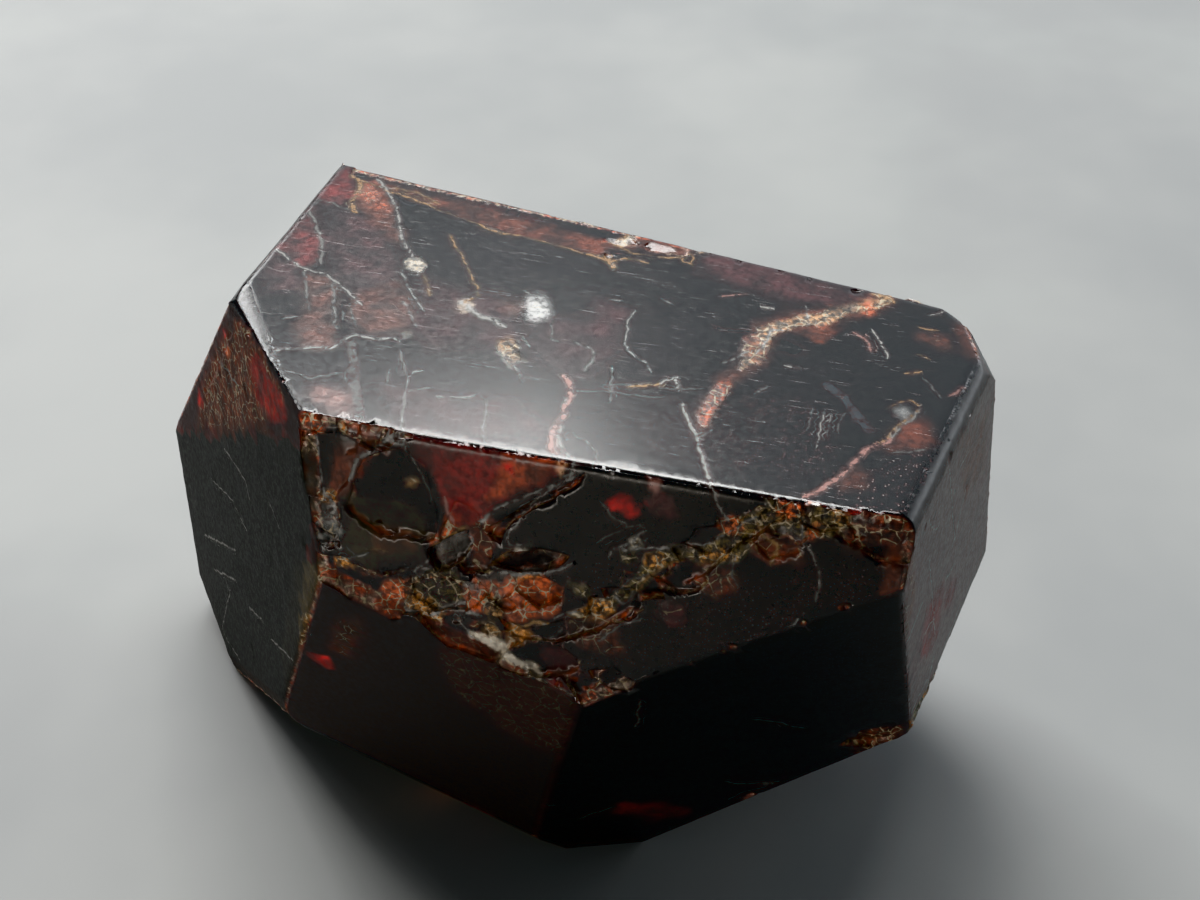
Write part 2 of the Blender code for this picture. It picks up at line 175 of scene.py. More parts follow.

# Cracks, with a few lines of painted shade and painted highlight: kind, half width in millimetres,
# strength, then the line, as pixels of the camera's view.
CRACKS = {
    "top": (
        ("pale", 0.07, 0.80, "277,250 288,258 298,266 312,271 326,274 335,281 345,289 354,297 360,303"),
        ("pale", 0.10, 0.50, "310,212 316,225 320,235 322,247 321,262"),
        ("pale", 0.06, 0.45, "304,272 306,283 307,295 309,308"),
        ("pale", 0.06, 0.35, "311,207 320,200 335,204 350,211"),
        ("tan", 0.16, 0.80, "353,175 360,182 359,192 352,202 356,212"),
        ("pale", 0.10, 0.80, "378,176 385,184 390,196 396,206 398,215 400,228 403,240 409,250 413,257"),
        ("tan", 0.10, 0.50, "422,275 428,285 430,295"),
        ("pale", 0.07, 0.60, "402,272 407,283 412,294 420,305 423,309"),
        ("pale", 0.07, 0.50, "404,303 410,314 416,325"),
        ("tan", 0.08, 0.60, "450,235 456,247 463,258 468,268 472,278 478,288 479,295 471,299 462,304"),
        ("pale", 0.14, 0.90, "462,303 472,310 483,318 495,320 503,326"),
        ("pale", 0.07, 0.50, "333,283 334,296 333,306 336,316 334,325 338,330"),
        ("pale", 0.06, 0.35, "350,305 353,318 356,325"),
        ("pale", 0.08, 0.85,
         "275,352 285,349 300,349 315,347 330,349 340,343 347,338 355,335 365,337 380,340 390,338 "
         "398,340"),
        ("pale", 0.06, 0.70, "285,318 293,317"),
        ("pale", 0.30, 0.32, "352,345 355,365 354,375 357,390 358,405 360,420"),
        ("pale", 0.06, 0.50, "401,352 403,362 406,372 408,382 406,395 402,410 403,430"),
        ("pale", 0.05, 0.50, "303,376 312,379 320,376"),
        ("pale", 0.05, 0.50, "327,376 338,373"),
        ("pale", 0.05, 0.50, "345,378 352,388"),
        ("pale", 0.05, 0.40, "389,372 388,382"),
        ("pale", 0.07, 0.80, "415,372 420,371"),
        ("pale", 0.06, 0.60, "412,390 427,388"),
        ("pale", 0.06, 0.60, "437,397 446,397"),
        ("pale", 0.06, 0.60, "462,398 473,396"),
        ("pale", 0.06, 0.40, "485,400 486,412 483,422 484,440"),
        ("pale", 0.08, 0.60, "515,368 522,380"),
        ("pale", 0.05, 0.45, "523,338 528,345"),
        ("pale", 0.05, 0.35, "552,322 552,340 560,342"),
        ("pale", 0.07, 0.50, "577,343 590,348 594,354 592,362 585,370"),
        ("rose", 0.17, 0.85, "563,375 569,383 571,395 566,405 565,415 557,425 551,435 551,445 555,452"),
        ("pale", 0.07, 0.70, "566,398 561,430 558,437 562,447 568,455 575,462 580,466"),
        ("pale", 0.05, 0.35, "575,435 590,445 597,452 597,460 592,466"),
        ("pale", 0.05, 0.45, "612,368 612,375 610,400"),
        ("pale", 0.05, 0.70, "634,312 628,320 627,332 625,345 627,350 635,357 645,362 650,370"),
        ("tan", 0.11, 0.90, "632,386 648,385 660,384"),
        ("pale", 0.08, 0.90, "660,384 665,380 670,380 675,378 678,388"),
        ("pale", 0.04, 0.40, "605,385 632,385"),
        ("pale", 0.04, 0.40, "660,388 680,389 700,389"),
        ("pale", 0.04, 0.35, "570,392 600,391 640,396 660,397"),
        ("pale", 0.09, 0.90, "683,405 687,418 693,430 697,438 699,450 703,462 707,472 710,483 712,493"),
        ("pale", 0.07, 0.70, "709,432 700,437 697,438"),
        ("pale", 0.06, 0.50, "725,362 735,358 745,352"),
        ("pale", 0.06, 0.50, "757,352 768,340 770,330 780,330"),
        ("rose", 0.06, 0.70, "722,296 733,295 745,294"),
        ("dark", 0.07, 0.90, "714,326 722,329 735,331 751,332"),
        ("pale", 0.10, 0.90, "764,307 771,308"),
        ("pale", 0.06, 0.80, "806,308 808,316"),
        ("pale", 0.08, 0.90, "788,366 798,368"),
        ("pale", 0.06, 0.50, "757,392 765,388"),
        ("pale", 0.06, 0.60, "664,300 670,303"),
        ("pale", 0.06, 0.60, "614,300 620,301"),
        ("pale", 0.06, 0.60, "527,292 533,295"),
        ("tan", 0.07, 0.80, "922,328 935,330"),
        ("tan", 0.06, 0.60, "921,355 927,358"),
        ("tan", 0.09, 0.80, "908,373 918,372"),
        ("pale", 0.04, 0.35, "925,380 937,392 940,396"),
        ("pale", 0.05, 1.00, "873,331 879,340 884,348 888,357"),
        ("rose", 0.10, 0.60, "855,333 868,342 870,350"),
        ("haze", 0.40, 0.30, "826,385 840,395 855,412 870,430"),
        ("tan", 0.06, 0.60,
         "888,408 900,402 912,400 918,405 917,412 908,418 900,424 893,430 888,437 880,443"),
        ("rose", 0.15, 0.80,
         "806,496 815,493 825,487 835,480 843,474 850,465 858,458 866,450 875,447 885,445 890,440"),
        ("pale", 0.06, 0.50, "890,440 900,428 915,417 920,408"),
        ("pale", 0.05, 0.40, "897,452 915,451 935,448"),
        ("rose", 0.09, 0.50, "952,395 960,388 968,386"),
        ("pale", 0.04, 0.70, "824,412 817,445"),
        ("pale", 0.04, 0.50, "831,415 827,435"),
        ("pale", 0.04, 0.40, "843,415 838,430"),
        ("pale", 0.04, 0.30, "812,410 808,428"),
        ("tan", 0.09, 0.80,
         "362,180 385,187 405,193 425,200 437,208 455,214 475,222 490,230 500,233 520,235 540,240 "
         "560,245 580,252 600,258 610,262 625,258 645,262"),
        ("tan", 0.07, 0.60, "395,184 420,190 437,200"),
        ("tan", 0.09, 0.70, "612,240 630,250 650,254 668,258 682,257"),
        ("tan", 0.15, 0.90, "605,256 614,268"),
        ("tan", 0.10, 0.90, "620,236 630,230 640,229"),
        ("tan", 0.12, 0.90, "690,241 700,244 702,250"),
        ("tan", 0.06, 0.70, "681,256 683,262 690,264 694,258 690,253 684,253"),
        ("tan", 0.09, 0.90, "880,294 888,297 893,301"),
        ("pale", 0.06, 0.70, "942,312 930,315"),
    ),
    "front": (
        ("pale", 0.06, 0.70, "308,440 311,445 313,460 316,475 319,490 321,500"),
        ("pale", 0.10, 0.90, "307,517 312,525 315,533 316,540"),
        ("pale", 0.10, 1.00, "328,503 331,511 328,518"),
        ("pale", 0.07, 0.80, "318,522 327,518"),
        ("pale", 0.07, 0.80, "341,526 341,534 336,533"),
        ("pale", 0.09, 0.90, "320,541 321,553 324,545"),
        ("pale", 0.05, 0.50, "333,545 340,550 346,546 350,551"),
        ("pale", 0.06, 0.70, "343,559 355,556 366,554"),
        ("tan", 0.06, 0.50, "375,549 384,551"),
        ("pale", 0.07, 0.85,
         "350,478 354,466 359,458 368,453 378,449 385,441 390,439 394,444 398,443 401,446 406,441 "
         "408,437"),
        ("pale", 0.05, 0.40, "404,448 410,458 416,470 422,482 427,492 429,502"),
        ("rose", 0.06, 0.80, "445,500 446,508 448,515 452,522"),
        ("pale", 0.06, 0.65, "421,577 413,573 418,567 425,563 430,556 433,548"),
        ("tan", 0.08, 0.80, "433,548 440,543 450,538 458,533 465,530"),
        ("pale", 0.06, 0.70, "465,558 469,550 470,543"),
        ("rose", 0.05, 0.50, "432,563 446,563"),
        ("pale", 0.09, 0.90, "403,614 412,618 422,620"),
        ("pale", 0.08, 0.80, "430,618 438,613 446,611 455,615 465,613 478,615"),
        ("pale", 0.06, 0.75, "590,463 575,470 560,480 545,488 530,494 517,500 505,505 492,512 480,522"),
        ("pale", 0.06, 0.75,
         "573,478 560,484 550,490 543,496 530,505 523,515 518,523 510,530 507,540 510,545 518,545"),
        ("tan", 0.07, 0.70, "493,565 503,556 513,551"),
        ("pale", 0.08, 0.80, "500,575 520,574 535,572 548,573 560,570 568,565"),
        ("cream", 0.17, 1.00, "498,652 508,660 518,665 525,667 532,673 540,682"),
        ("cream", 0.10, 0.85, "540,682 550,688 562,692 572,697 578,700"),
        ("pale", 0.10, 0.80, "575,697 583,703 590,710 595,705 600,700 607,699"),
        ("pale", 0.05, 0.55, "603,505 610,515 617,520 625,523"),
        ("pale", 0.04, 0.40, "600,541 615,533 627,527 640,525"),
        ("pale", 0.06, 0.60, "610,555 613,548 625,545 635,540 642,532"),
        ("pale", 0.06, 0.75, "612,549 625,550 640,548 655,548 670,548 700,549"),
        ("tan", 0.10, 0.95, "508,626 520,627 530,625 538,622 548,624"),
        ("pale", 0.05, 0.60, "545,625 555,618 565,613 575,612"),
        ("pale", 0.05, 0.60, "607,602 615,600 620,608 627,604 630,598"),
        ("pale", 0.05, 0.50, "620,590 628,582 640,580 648,575"),
        ("pale", 0.05, 0.50, "545,642 555,638 558,634"),
        ("rose", 0.05, 0.40, "565,620 563,650 577,665 578,675"),
        ("pale", 0.04, 0.40, "600,702 610,695 625,690 640,680"),
        ("pale", 0.05, 0.60, "455,625 465,635 470,645"),
        ("pale", 0.07, 0.65, "712,493 716,500 720,508 727,520"),
        ("pale", 0.05, 0.50, "800,520 802,540"),
        ("pale", 0.06, 0.60, "806,545 812,553 816,565 819,577 820,587 816,598"),
        ("pale", 0.08, 0.60, "762,640 775,638 785,632 797,622"),
        ("pale", 0.05, 0.40, "640,620 620,625 600,640"),
        ("tan", 0.07, 0.70, "757,530 768,540 778,550 772,562"),
        ("pale", 0.05, 0.50, "708,545 725,538 740,528 757,520"),
        ("tan", 0.06, 0.50, "640,590 650,575 668,566 690,562"),
        ("pale", 0.05, 0.50, "735,560 731,575 737,585"),
        # Painted shade: a dark line along the upper edge of the cavity.
        ("dark", 0.15, 0.90, "433,551 442,545 452,541 464,534"),
    ),
    "left": (
        ("pale", 0.04, 0.70, "217,360 228,372 240,390"),
        ("pale", 0.04, 0.50, "270,505 278,525"),
        ("pale", 0.04, 0.50, "205,535 235,550"),
        ("pale", 0.04, 0.40, "215,570 235,580"),
        ("pale", 0.04, 0.40, "250,608 262,620"),
        ("pale", 0.04, 0.40, "272,640 292,660"),
        ("pale", 0.04, 0.35, "225,450 245,480 250,500"),
        ("pale", 0.03, 0.35, "212,480 232,500 246,530"),
        ("pale", 0.03, 0.30, "230,590 222,630 240,660"),
        ("rose", 0.05, 0.30, "205,395 222,360 232,335"),
    ),
    "right": (
        ("pale", 0.03, 0.30, "930,560 935,640"),
        ("pale", 0.03, 0.30, "950,470 955,540"),
    ),
    "lower_left": (
        ("rose", 0.06, 0.40, "500,640 540,665 575,700"),
        ("pale", 0.05, 0.50, "560,762 575,762"),
    ),
    "lower_right": (
        # Painted highlight: a pink glint along the lower edge.
        ("rose", 0.06, 0.60, "745,799 755,797 765,795"),
    ),
}

# Stains and broken patches, with painted highlights, a painted glow and a painted notch shade: kind,
# strength, how granular, then the outline, as pixels too.
PATCHES = {
    "top": (
        # Painted glow: the red at the thin far left corner of the top stands for light shining through
        # the stone there.
        ("red", 0.50, 0.15, "320,197 335,178 348,168 353,182 352,198 340,205"),
        ("ember", 0.45, 0.35, "362,183 375,178 382,184 388,195 392,210 380,212 365,207 361,195"),
        ("red", 0.42, 0.15, "275,248 295,226 311,210 318,235 322,257 310,264 298,264 285,255"),
        ("plum", 0.40, 0.10, "277,254 296,266 302,280 290,290 265,290 258,275"),
        ("rust", 0.45, 0.15,
         "310,275 328,278 333,290 331,305 335,330 330,345 305,347 301,325 308,310 310,298"),
        ("rust", 0.40, 0.12, "375,200 395,213 402,245 385,235 368,220"),
        ("plum", 0.40, 0.10, "330,205 355,212 375,225 395,250 395,280 360,292 330,270 322,240"),
        ("rust", 0.38, 0.12, "360,292 395,280 415,300 405,330 370,335 355,320"),
        ("rose", 0.35, 0.10, "308,384 350,390 352,416 330,412 312,402"),
        ("plum", 0.35, 0.00, "540,320 600,318 612,350 590,378 550,370 530,345"),
        ("plum", 0.35, 0.00, "600,300 625,310 620,340 600,335"),
        ("cream", 0.80, 0.80, "410,260 420,259 426,265 424,272 418,275 411,268"),
        ("cream", 0.60, 0.80, "401,333 408,331 412,336 408,342 402,340"),
        ("cream", 0.60, 0.60, "458,302 468,298 474,304 470,312 462,310"),
        ("tan", 0.55, 0.90, "498,340 512,338 520,348 518,360 510,366 500,352"),
        ("rust", 0.35, 0.20, "500,302 522,300 524,308 510,314 500,310"),
        ("white", 1.00, 0.30, "531,300 539,298 547,302 548,312 541,318 532,315 529,308"),
        ("rust", 0.50, 0.20,
         "720,385 728,374 740,362 752,345 758,330 770,322 785,313 800,312 820,308 845,300 872,296 "
         "893,300 885,308 870,314 855,318 835,325 815,335 800,332 785,332 772,345 765,355 752,368 "
         "735,382 722,395 710,410 705,422 700,430 702,415 708,398"),
        ("tan", 0.50, 0.85,
         "735,368 748,350 760,334 775,322 800,316 822,314 812,326 796,328 780,334 768,348 756,362 "
         "742,374"),
        ("tan", 0.60, 0.90, "808,322 830,308 850,302 872,299 888,301 876,309 856,313 838,322 820,328"),
        ("cream", 0.60, 1.00, "842,305 856,302 862,308 850,313 842,311"),
        ("ember", 0.60, 0.90, "716,390 728,380 733,386 722,400 712,416 704,426 703,414 710,400"),
        ("rust", 0.60, 0.50, "742,340 757,335 768,345 762,360 745,362"),
        ("ember", 0.60, 0.40, "862,303 872,302 874,314 864,316"),
        ("ember", 0.45, 0.30, "815,328 828,322 830,332 818,338"),
        ("rust", 0.50, 0.30, "925,338 948,337 950,344 935,348"),
        ("plum", 0.45, 0.00, "700,250 800,275 885,300 850,312 800,300 740,285 700,270"),
        ("rust", 0.50, 0.00, "890,447 903,450 920,448 935,440 926,420 915,416 900,425"),
        ("rust", 0.45, 0.10, "843,478 855,466 864,473 860,484 848,486"),
        ("speck", 0.80, 0.70, "838,488 868,470 900,455 945,447 938,480 905,512 858,512"),
        ("speck", 0.40, 0.30, "640,400 700,395 800,400 830,430 840,480 700,470 600,440 600,410"),
        ("rust", 0.55, 0.12,
         "362,176 400,184 450,196 520,216 600,240 606,256 580,250 540,238 500,231 475,219 437,205 "
         "400,190 370,183"),
        ("rust", 0.50, 0.10, "612,243 650,250 690,252 690,240 640,232"),
        ("cream", 0.85, 0.50, "617,237 628,229 640,229 642,233 630,238 622,242"),
        ("cream", 0.85, 0.50, "686,240 700,240 705,248 700,252 696,245"),
        ("cream", 0.70, 0.40, "608,258 613,257 617,266 613,270"),
        ("tan", 0.70, 0.50, "872,293 885,294 895,302 888,304"),
        ("white", 1.00, 0.00, "901,411 905,409 907,413 904,417 901,415"),
        # Painted shade: a small dark triangle where a notch in the top was filled.
        ("dark", 1.00, 0.00, "778,347 784,338 792,347"),
        ("rust", 0.40, 0.00, "960,322 975,335 985,360 975,355 960,340"),
        ("plum", 0.35, 0.00, "380,385 520,400 560,440 400,430"),
        ("plum", 0.30, 0.00, "420,280 500,300 520,340 440,350 410,330"),
    ),
    "front": (
        ("ember", 1.00, 0.80,
         "300,403 312,415 325,420 347,425 350,430 345,437 335,432 325,432 315,437 305,430 299,418"),
        ("amber", 1.00, 0.50, "331,421 350,426 351,431 343,437 335,431"),
        ("amber", 0.90, 0.60, "380,431 400,435 404,441 392,440 380,437"),
        ("rust", 0.80, 0.20, "350,427 380,431 381,438 360,436"),
        ("black", 1.00, 0.20, "326,437 333,428 345,440 331,448 327,470 327,497 321,490 316,450"),
        ("rust", 0.60, 0.15, "330,450 350,440 378,441 360,458 352,475 345,490 330,498 327,480"),
        ("red", 0.30, 0.10, "408,438 440,443 435,470 420,465 412,450"),
        ("amber", 0.80, 0.90, "314,498 322,496 330,498 326,504 318,504"),
        ("grey", 0.80, 0.40, "319,533 330,527 342,531 334,537 326,541 320,537"),
        ("grey", 0.60, 0.90, "303,515 318,520 326,532 322,552 314,545 308,530"),
        ("ember", 0.95, 0.50,
         "434,543 442,530 447,514 455,520 463,527 471,527 468,533 456,534 446,540"),
        ("black", 1.00, 0.30, "432,550 448,540 463,533 467,545 462,560 448,568 436,570 428,560"),
        ("rose", 0.90, 0.20, "465,532 471,533 471,541 466,541"),
        ("rust", 0.75, 0.40, "472,508 484,515 493,525 495,545 488,568 478,576 470,565 472,545 470,528"),
        ("amber", 0.95, 0.90, "330,560 340,556 348,560 353,568 352,575 345,572 335,572 328,568"),
        ("rust", 0.50, 0.50, "352,570 365,575 382,574 372,583 358,580"),
        ("ember", 0.95, 0.50,
         "372,595 378,590 388,583 398,585 403,592 401,602 392,612 383,608 378,600"),
        ("amber", 0.95, 1.00,
         "402,606 410,599 418,600 425,605 430,615 438,618 435,625 425,623 415,618 405,615"),
        ("olive", 0.35, 1.00,
         "405,580 425,572 455,572 462,590 458,608 440,612 430,612 418,598 406,595"),
        ("ember", 1.00, 0.70, "459,590 475,592 487,595 493,600 488,610 475,613 465,610 458,600"),
        ("ember", 0.85, 0.60, "470,585 487,580 500,584 504,592 495,600 480,598"),
        ("tan", 0.85, 1.00, "487,600 500,598 501,615 493,627 486,612"),
        ("ember", 0.80, 0.45,
         "502,578 515,574 535,571 542,576 556,590 560,602 554,615 530,621 510,621 503,610 500,590"),
        ("amber", 0.70, 0.70, "508,572 540,570 538,577 512,580"),
        ("cream", 1.00, 0.55,
         "466,636 478,638 488,637 498,643 503,652 515,662 530,670 540,682 526,678 512,670 500,661 "
         "490,657 480,655 472,649"),
        ("cream", 1.00, 0.15, "474,640 486,638 496,643 500,652 490,656 480,653"),
        ("tan", 0.75, 1.00, "478,622 492,618 502,630 497,643 485,640 478,632"),
        ("amber", 0.85, 0.60, "504,631 518,629 528,637 520,646 505,646"),
        ("red", 0.75, 0.15,
         "440,448 470,452 500,457 540,465 566,471 550,485 530,492 505,502 490,512 475,520 462,527 "
         "450,512 440,490 432,470"),
        ("ember", 0.45, 0.10, "500,458 545,467 556,474 545,484 520,494 490,500 495,475"),
        # Painted highlight: a bright red glint of an internal reflection.
        ("painted_red_glint", 1.00, 0.00, "503,466 508,462 514,465 513,473 507,475 502,472"),
        # Painted highlight: an orange-white glint of an internal reflection.
        ("painted_hot_glint", 1.00, 0.00, "557,470 562,467 567,470 566,479 561,484 556,480"),
        ("cream", 1.00, 0.30, "512,553 519,547 529,545 533,540 531,548 522,552"),
        ("black", 1.00, 0.10, "490,567 503,557 525,553 548,556 568,562 550,570 520,572 498,574"),
        ("black", 0.80, 0.00,
         "512,545 520,525 548,503 600,480 640,485 690,510 715,530 690,545 640,530 600,545 560,555 "
         "530,552"),
        # Painted highlight: a bright red glint of an internal reflection.
        ("painted_red_glint", 1.00, 0.10, "608,503 618,497 628,494 638,504 637,514 630,518 620,509 612,508"),
        ("rose", 1.00, 0.00, "650,481 654,481 655,486 651,487"),
        ("cream", 0.80, 0.80, "629,543 637,540 641,546 636,551 629,549"),
        ("olive", 0.80, 1.00, "622,552 634,552 634,562 626,563"),
        ("olive", 0.85, 1.00,
         "590,612 600,600 615,595 625,590 640,570 650,555 665,550 690,552 710,545 720,535 735,520 "
         "755,510 775,500 800,505 830,508 850,520 845,532 825,537 800,537 780,527 760,532 745,542 "
         "735,557 720,566 700,562 680,562 660,567 650,582 635,592 620,606 605,618 590,620"),
        ("amber", 1.00, 0.90, "646,556 660,555 666,562 656,568 645,563"),
        ("amber", 0.90, 1.00, "700,556 712,554 726,551 731,558 716,563 702,562"),
        ("ember", 0.70, 1.00, "722,520 735,515 738,530 728,540 720,532"),
        ("ember", 1.00, 1.00, "767,518 776,507 789,502 801,504 812,510 800,518 786,522 776,521"),
        ("amber", 0.90, 0.90, "828,508 846,514 846,526 835,523"),
        ("ember", 0.95, 0.60, "807,528 816,531 813,542 806,540"),
        ("rust", 0.80, 0.30, "754,541 765,532 776,545 787,551 776,561 762,553"),
        ("rust", 0.55, 0.40, "780,550 800,545 802,560 788,566"),
        ("rust", 0.50, 0.40, "700,570 718,565 736,577 735,590 715,600 700,590"),
        ("plum", 0.60, 0.30, "668,598 686,606 688,622 670,627 660,615"),
        ("plum", 0.50, 0.20, "648,500 672,495 676,518 655,518"),
        ("amber", 0.80, 0.90, "570,613 590,605 598,600 611,606 612,614 603,619 590,617"),
        ("olive", 0.90, 0.90, "574,585 584,584 592,590 588,598 577,597"),
        ("speck", 0.70, 1.00, "740,640 760,618 790,605 830,600 850,595 800,625 770,645 750,652"),
        ("speck", 0.60, 1.00, "560,575 600,560 640,560 640,590 600,600 570,600"),
        ("speck", 0.50, 0.80,
         "600,640 640,605 700,590 760,580 880,560 893,590 800,620 740,645 650,670 600,690 585,660"),
        ("rust", 0.50, 0.20, "885,560 896,530 900,560 897,597 884,592"),
        ("rust", 0.40, 0.60, "840,530 895,530 895,545 850,548"),
        ("cream", 0.90, 0.70, "893,596 897,595 897,601 893,601"),
        ("white", 1.00, 0.00, "820,621 824,621 824,626 820,626"),
        ("cream", 0.90, 1.00, "584,698 600,698 612,702 604,712 590,713"),
        ("rust", 0.70, 0.80, "600,705 625,708 645,714 625,722 604,716"),
        ("red", 0.60, 0.30, "425,625 450,630 465,645 472,657 450,652 430,640"),
        ("rust", 0.35, 0.30, "325,600 337,594 333,614"),
        ("red", 0.40, 0.20, "548,680 562,682 580,690 565,694"),
        ("plum", 0.45, 0.20, "540,655 570,655 580,680 560,680"),
        ("rust", 0.40, 0.40, "565,625 615,620 625,650 600,655 575,650"),
        ("olive", 0.12, 0.10, "350,500 400,500 425,520 420,560 370,568 345,550"),
        ("rust", 0.20, 0.10, "370,530 400,530 420,550 380,560"),
        ("tan", 0.90, 0.50, "405,480 412,478 417,484 413,490 406,488"),
    ),
    "left": (
        ("rust", 0.50, 0.40,
         "203,390 218,345 235,322 247,330 262,355 285,400 272,420 240,430 215,432 197,425"),
        ("red", 0.80, 0.20, "255,350 275,385 290,415 275,425 258,400 250,370"),
        # Painted highlight: a bright red dot for a glint of an internal reflection.
        ("painted_red_glint", 0.90, 0.00, "219,331 224,330 226,335 221,337"),
        ("ember", 0.80, 0.30, "225,350 231,349 232,355 226,356"),
        # Painted highlight: a bright red dot for a glint of an internal reflection.
        ("painted_red_glint", 0.80, 0.20, "196,398 204,396 205,404 198,406"),
        ("olive", 0.22, 0.30, "297,560 325,568 322,600 300,660 285,690 280,650 292,600"),
        ("tan", 0.50, 0.90, "302,618 313,612 312,640 300,650"),
        # Most of the left face made darker by a near black cover.
        ("near_black_cover", 0.85, 0.15,
         "140,425 200,434 250,430 290,440 318,470 308,560 290,720 262,730 170,640 140,540"),
        ("speck", 0.10, 0.30, "195,430 300,430 300,560 280,680 220,620"),
    ),
    "right": (
        ("speck", 0.25, 0.30, "915,530 960,430 990,400 988,520 950,620 910,720 905,600"),
        ("rust", 0.30, 0.30, "905,560 915,540 915,600 906,640"),
        ("rust", 0.25, 0.20, "960,440 985,410 985,470 965,500"),
    ),
    "lower_left": (
        ("rust", 0.08, 0.30, "430,630 480,640 560,690 582,700 590,730 575,760 520,740 450,690"),
        # Painted highlight: a bright red glint of an internal reflection.
        ("painted_red_glint", 0.90, 0.00, "318,657 325,657 326,664 319,664"),
        ("rust", 0.30, 0.40, "335,620 360,625 350,660 335,650"),
    ),
    "lower_right": (
        ("rust", 0.45, 0.70, "862,740 880,728 902,725 900,745 880,757 865,755"),
        # Painted highlight: a pink glint along the lower edge.
        ("rose", 0.80, 0.20, "744,797 765,794 764,801 748,804"),
    ),
}

# Faces turned away: the box that loose marks fall in, then each vein's start, heading, length
# and kind.
HIDDEN = {
    "back_upper": ((-22.0, 14.0), (22.0, 33.0), (
        ((-19.0, 30.0), -35.0, 15.0, "tan"), ((3.0, 32.0), -115.0, 13.0, "pale"),
        ((14.0, 29.0), -150.0, 12.0, "tan"))),
    "back_lower": ((-18.0, 2.0), (18.0, 14.0), (
        ((-14.0, 13.0), -25.0, 13.0, "pale"), ((9.0, 14.0), -100.0, 10.0, "tan"))),
    "left_rear": ((-8.0, 4.0), (8.0, 20.0), (((-6.0, 18.0), -50.0, 13.0, "tan"),)),
    "left_upper": ((-8.0, 2.0), (8.0, 18.0), (((-4.0, 15.0), -60.0, 11.0, "rose"),)),
    "right_rear": ((-12.0, 6.0), (8.0, 30.0), (
        ((-6.0, 29.0), -70.0, 16.0, "tan"), ((5.0, 24.0), -110.0, 10.0, "pale"))),
    "right": ((-10.0, 8.0), (8.0, 30.0), (((3.0, 12.0), 150.0, 7.0, "pale"),)),
    "lower_right": ((-6.0, 6.0), (18.0, 22.0), ()),
    "under_left": ((-10.0, 2.0), (10.0, 12.0), (((-6.0, 10.0), -30.0, 9.0, "tan"),)),
    "under_right": ((-8.0, 4.0), (8.0, 16.0), (((-5.0, 13.0), -40.0, 9.0, "pale"),)),
    "under_back": ((-14.0, 2.0), (14.0, 12.0), (((-9.0, 10.0), -20.0, 14.0, "tan"),)),
    "base": ((-20.0, -8.0), (10.0, 8.0), (
        ((-16.0, 3.0), -15.0, 18.0, "pale"), ((-4.0, -6.0), 70.0, 9.0, "tan"))),
}
VEIN_STAINS = ("tan", "ember", "rust", "olive", "amber", "cream")
FAINT_STAINS = ("plum", "rust", "red", "plum")
HAIRLINES = 9
FAINT_PATCHES = 3
BLOB_POINTS = 9
WANDER_STEP = 0.8
WANDER_TURN = 24.0
CRACK_STEP = 0.28
CRACK_STRAY = 0.07

# Colour of each kind of mark, and how far it hides the clear stone below it.
STAINS = {
    "red": ((0.36, 0.014, 0.010), 0.85),
    # Painted highlight: bright red spots that stand for internal reflections glinting in the stone.
    "painted_red_glint": ((0.95, 0.018, 0.012), 1.00),
    # Painted highlight: an orange-white spot that stands for a hot internal glint.
    "painted_hot_glint": ((1.00, 0.55, 0.32), 1.00),
    "ember": ((0.92, 0.190, 0.062), 0.95),
    "amber": ((0.98, 0.430, 0.120), 0.95),
    "rust": ((0.34, 0.085, 0.042), 0.80),
    "plum": ((0.20, 0.062, 0.066), 0.70),
    "rose": ((0.78, 0.400, 0.340), 0.90),
    "tan": ((0.68, 0.400, 0.190), 0.90),
    "cream": ((0.95, 0.840, 0.680), 1.00),
    "white": ((0.88, 0.880, 0.860), 1.00),
    "pale": ((0.62, 0.600, 0.560), 0.90),
    "haze": ((0.20, 0.225, 0.260), 0.60),
    "olive": ((0.36, 0.270, 0.120), 0.75),
    # Near black cover, darker than the clear stone.
    "near_black_cover": ((0.011, 0.013, 0.009), 0.70),
    "grey": ((0.40, 0.420, 0.400), 0.80),
    "black": ((0.004, 0.002, 0.002), 0.00),
    # Near black: painted shade for the filled notch on the top and the cavity's upper edge on the
    # front, and a dark crack on the top.
    "dark": ((0.004, 0.003, 0.003), 0.90),
}

# How finely each face is divided, in millimetres, and how dull its polish is.
COARSE, MARKED, FINE, FINEST = 0.80, 0.44, 0.25, 0.18
AWAY_SPACING = 1.5
TURNED_AWAY = ("base", "under_left", "under_corner", "under_right", "under_back", "back_upper",
               "back_lower", "right_rear", "rear_corner", "left_upper", "left_rear")
FACE_SPACING = {"top": MARKED, "front": 0.34, "left": 0.70, "right": 0.60, "right_bevel": 0.34,
                "left_nick": 0.28}
FACE_DULLNESS = {"top": 0.19, "front": 0.30, "left": 0.70, "right": 0.40, "lower_left": 0.60,
                 "lower_right": 0.34, "right_bevel": 0.34, "left_nick": 0.22}
DULLNESS = 0.34


def outward(bearing, tilt):
    """Unit vector at this bearing and tilt."""
    b, t = math.radians(bearing), math.radians(tilt)
    return np.array((math.cos(t) * math.cos(b), math.cos(t) * math.sin(b), math.sin(t)))


def face_axes():
    """For each face its outward, across and up directions, as rows of three arrays."""
    out, across, up = [], [], []
    for bearing, tilt in FACES.values():
        normal = outward(bearing, tilt)
        side = outward(bearing + 90.0, 0.0)
        out.append(normal)
        across.append(side)
        up.append(np.cross(normal, side))
    return np.array(out), np.array(across), np.array(up)


OUT, ACROSS, UP = face_axes()


def indices_of(faces):
    """Where these faces are in the list of faces."""
    return [FACE_NAMES.index(face) for face in faces]


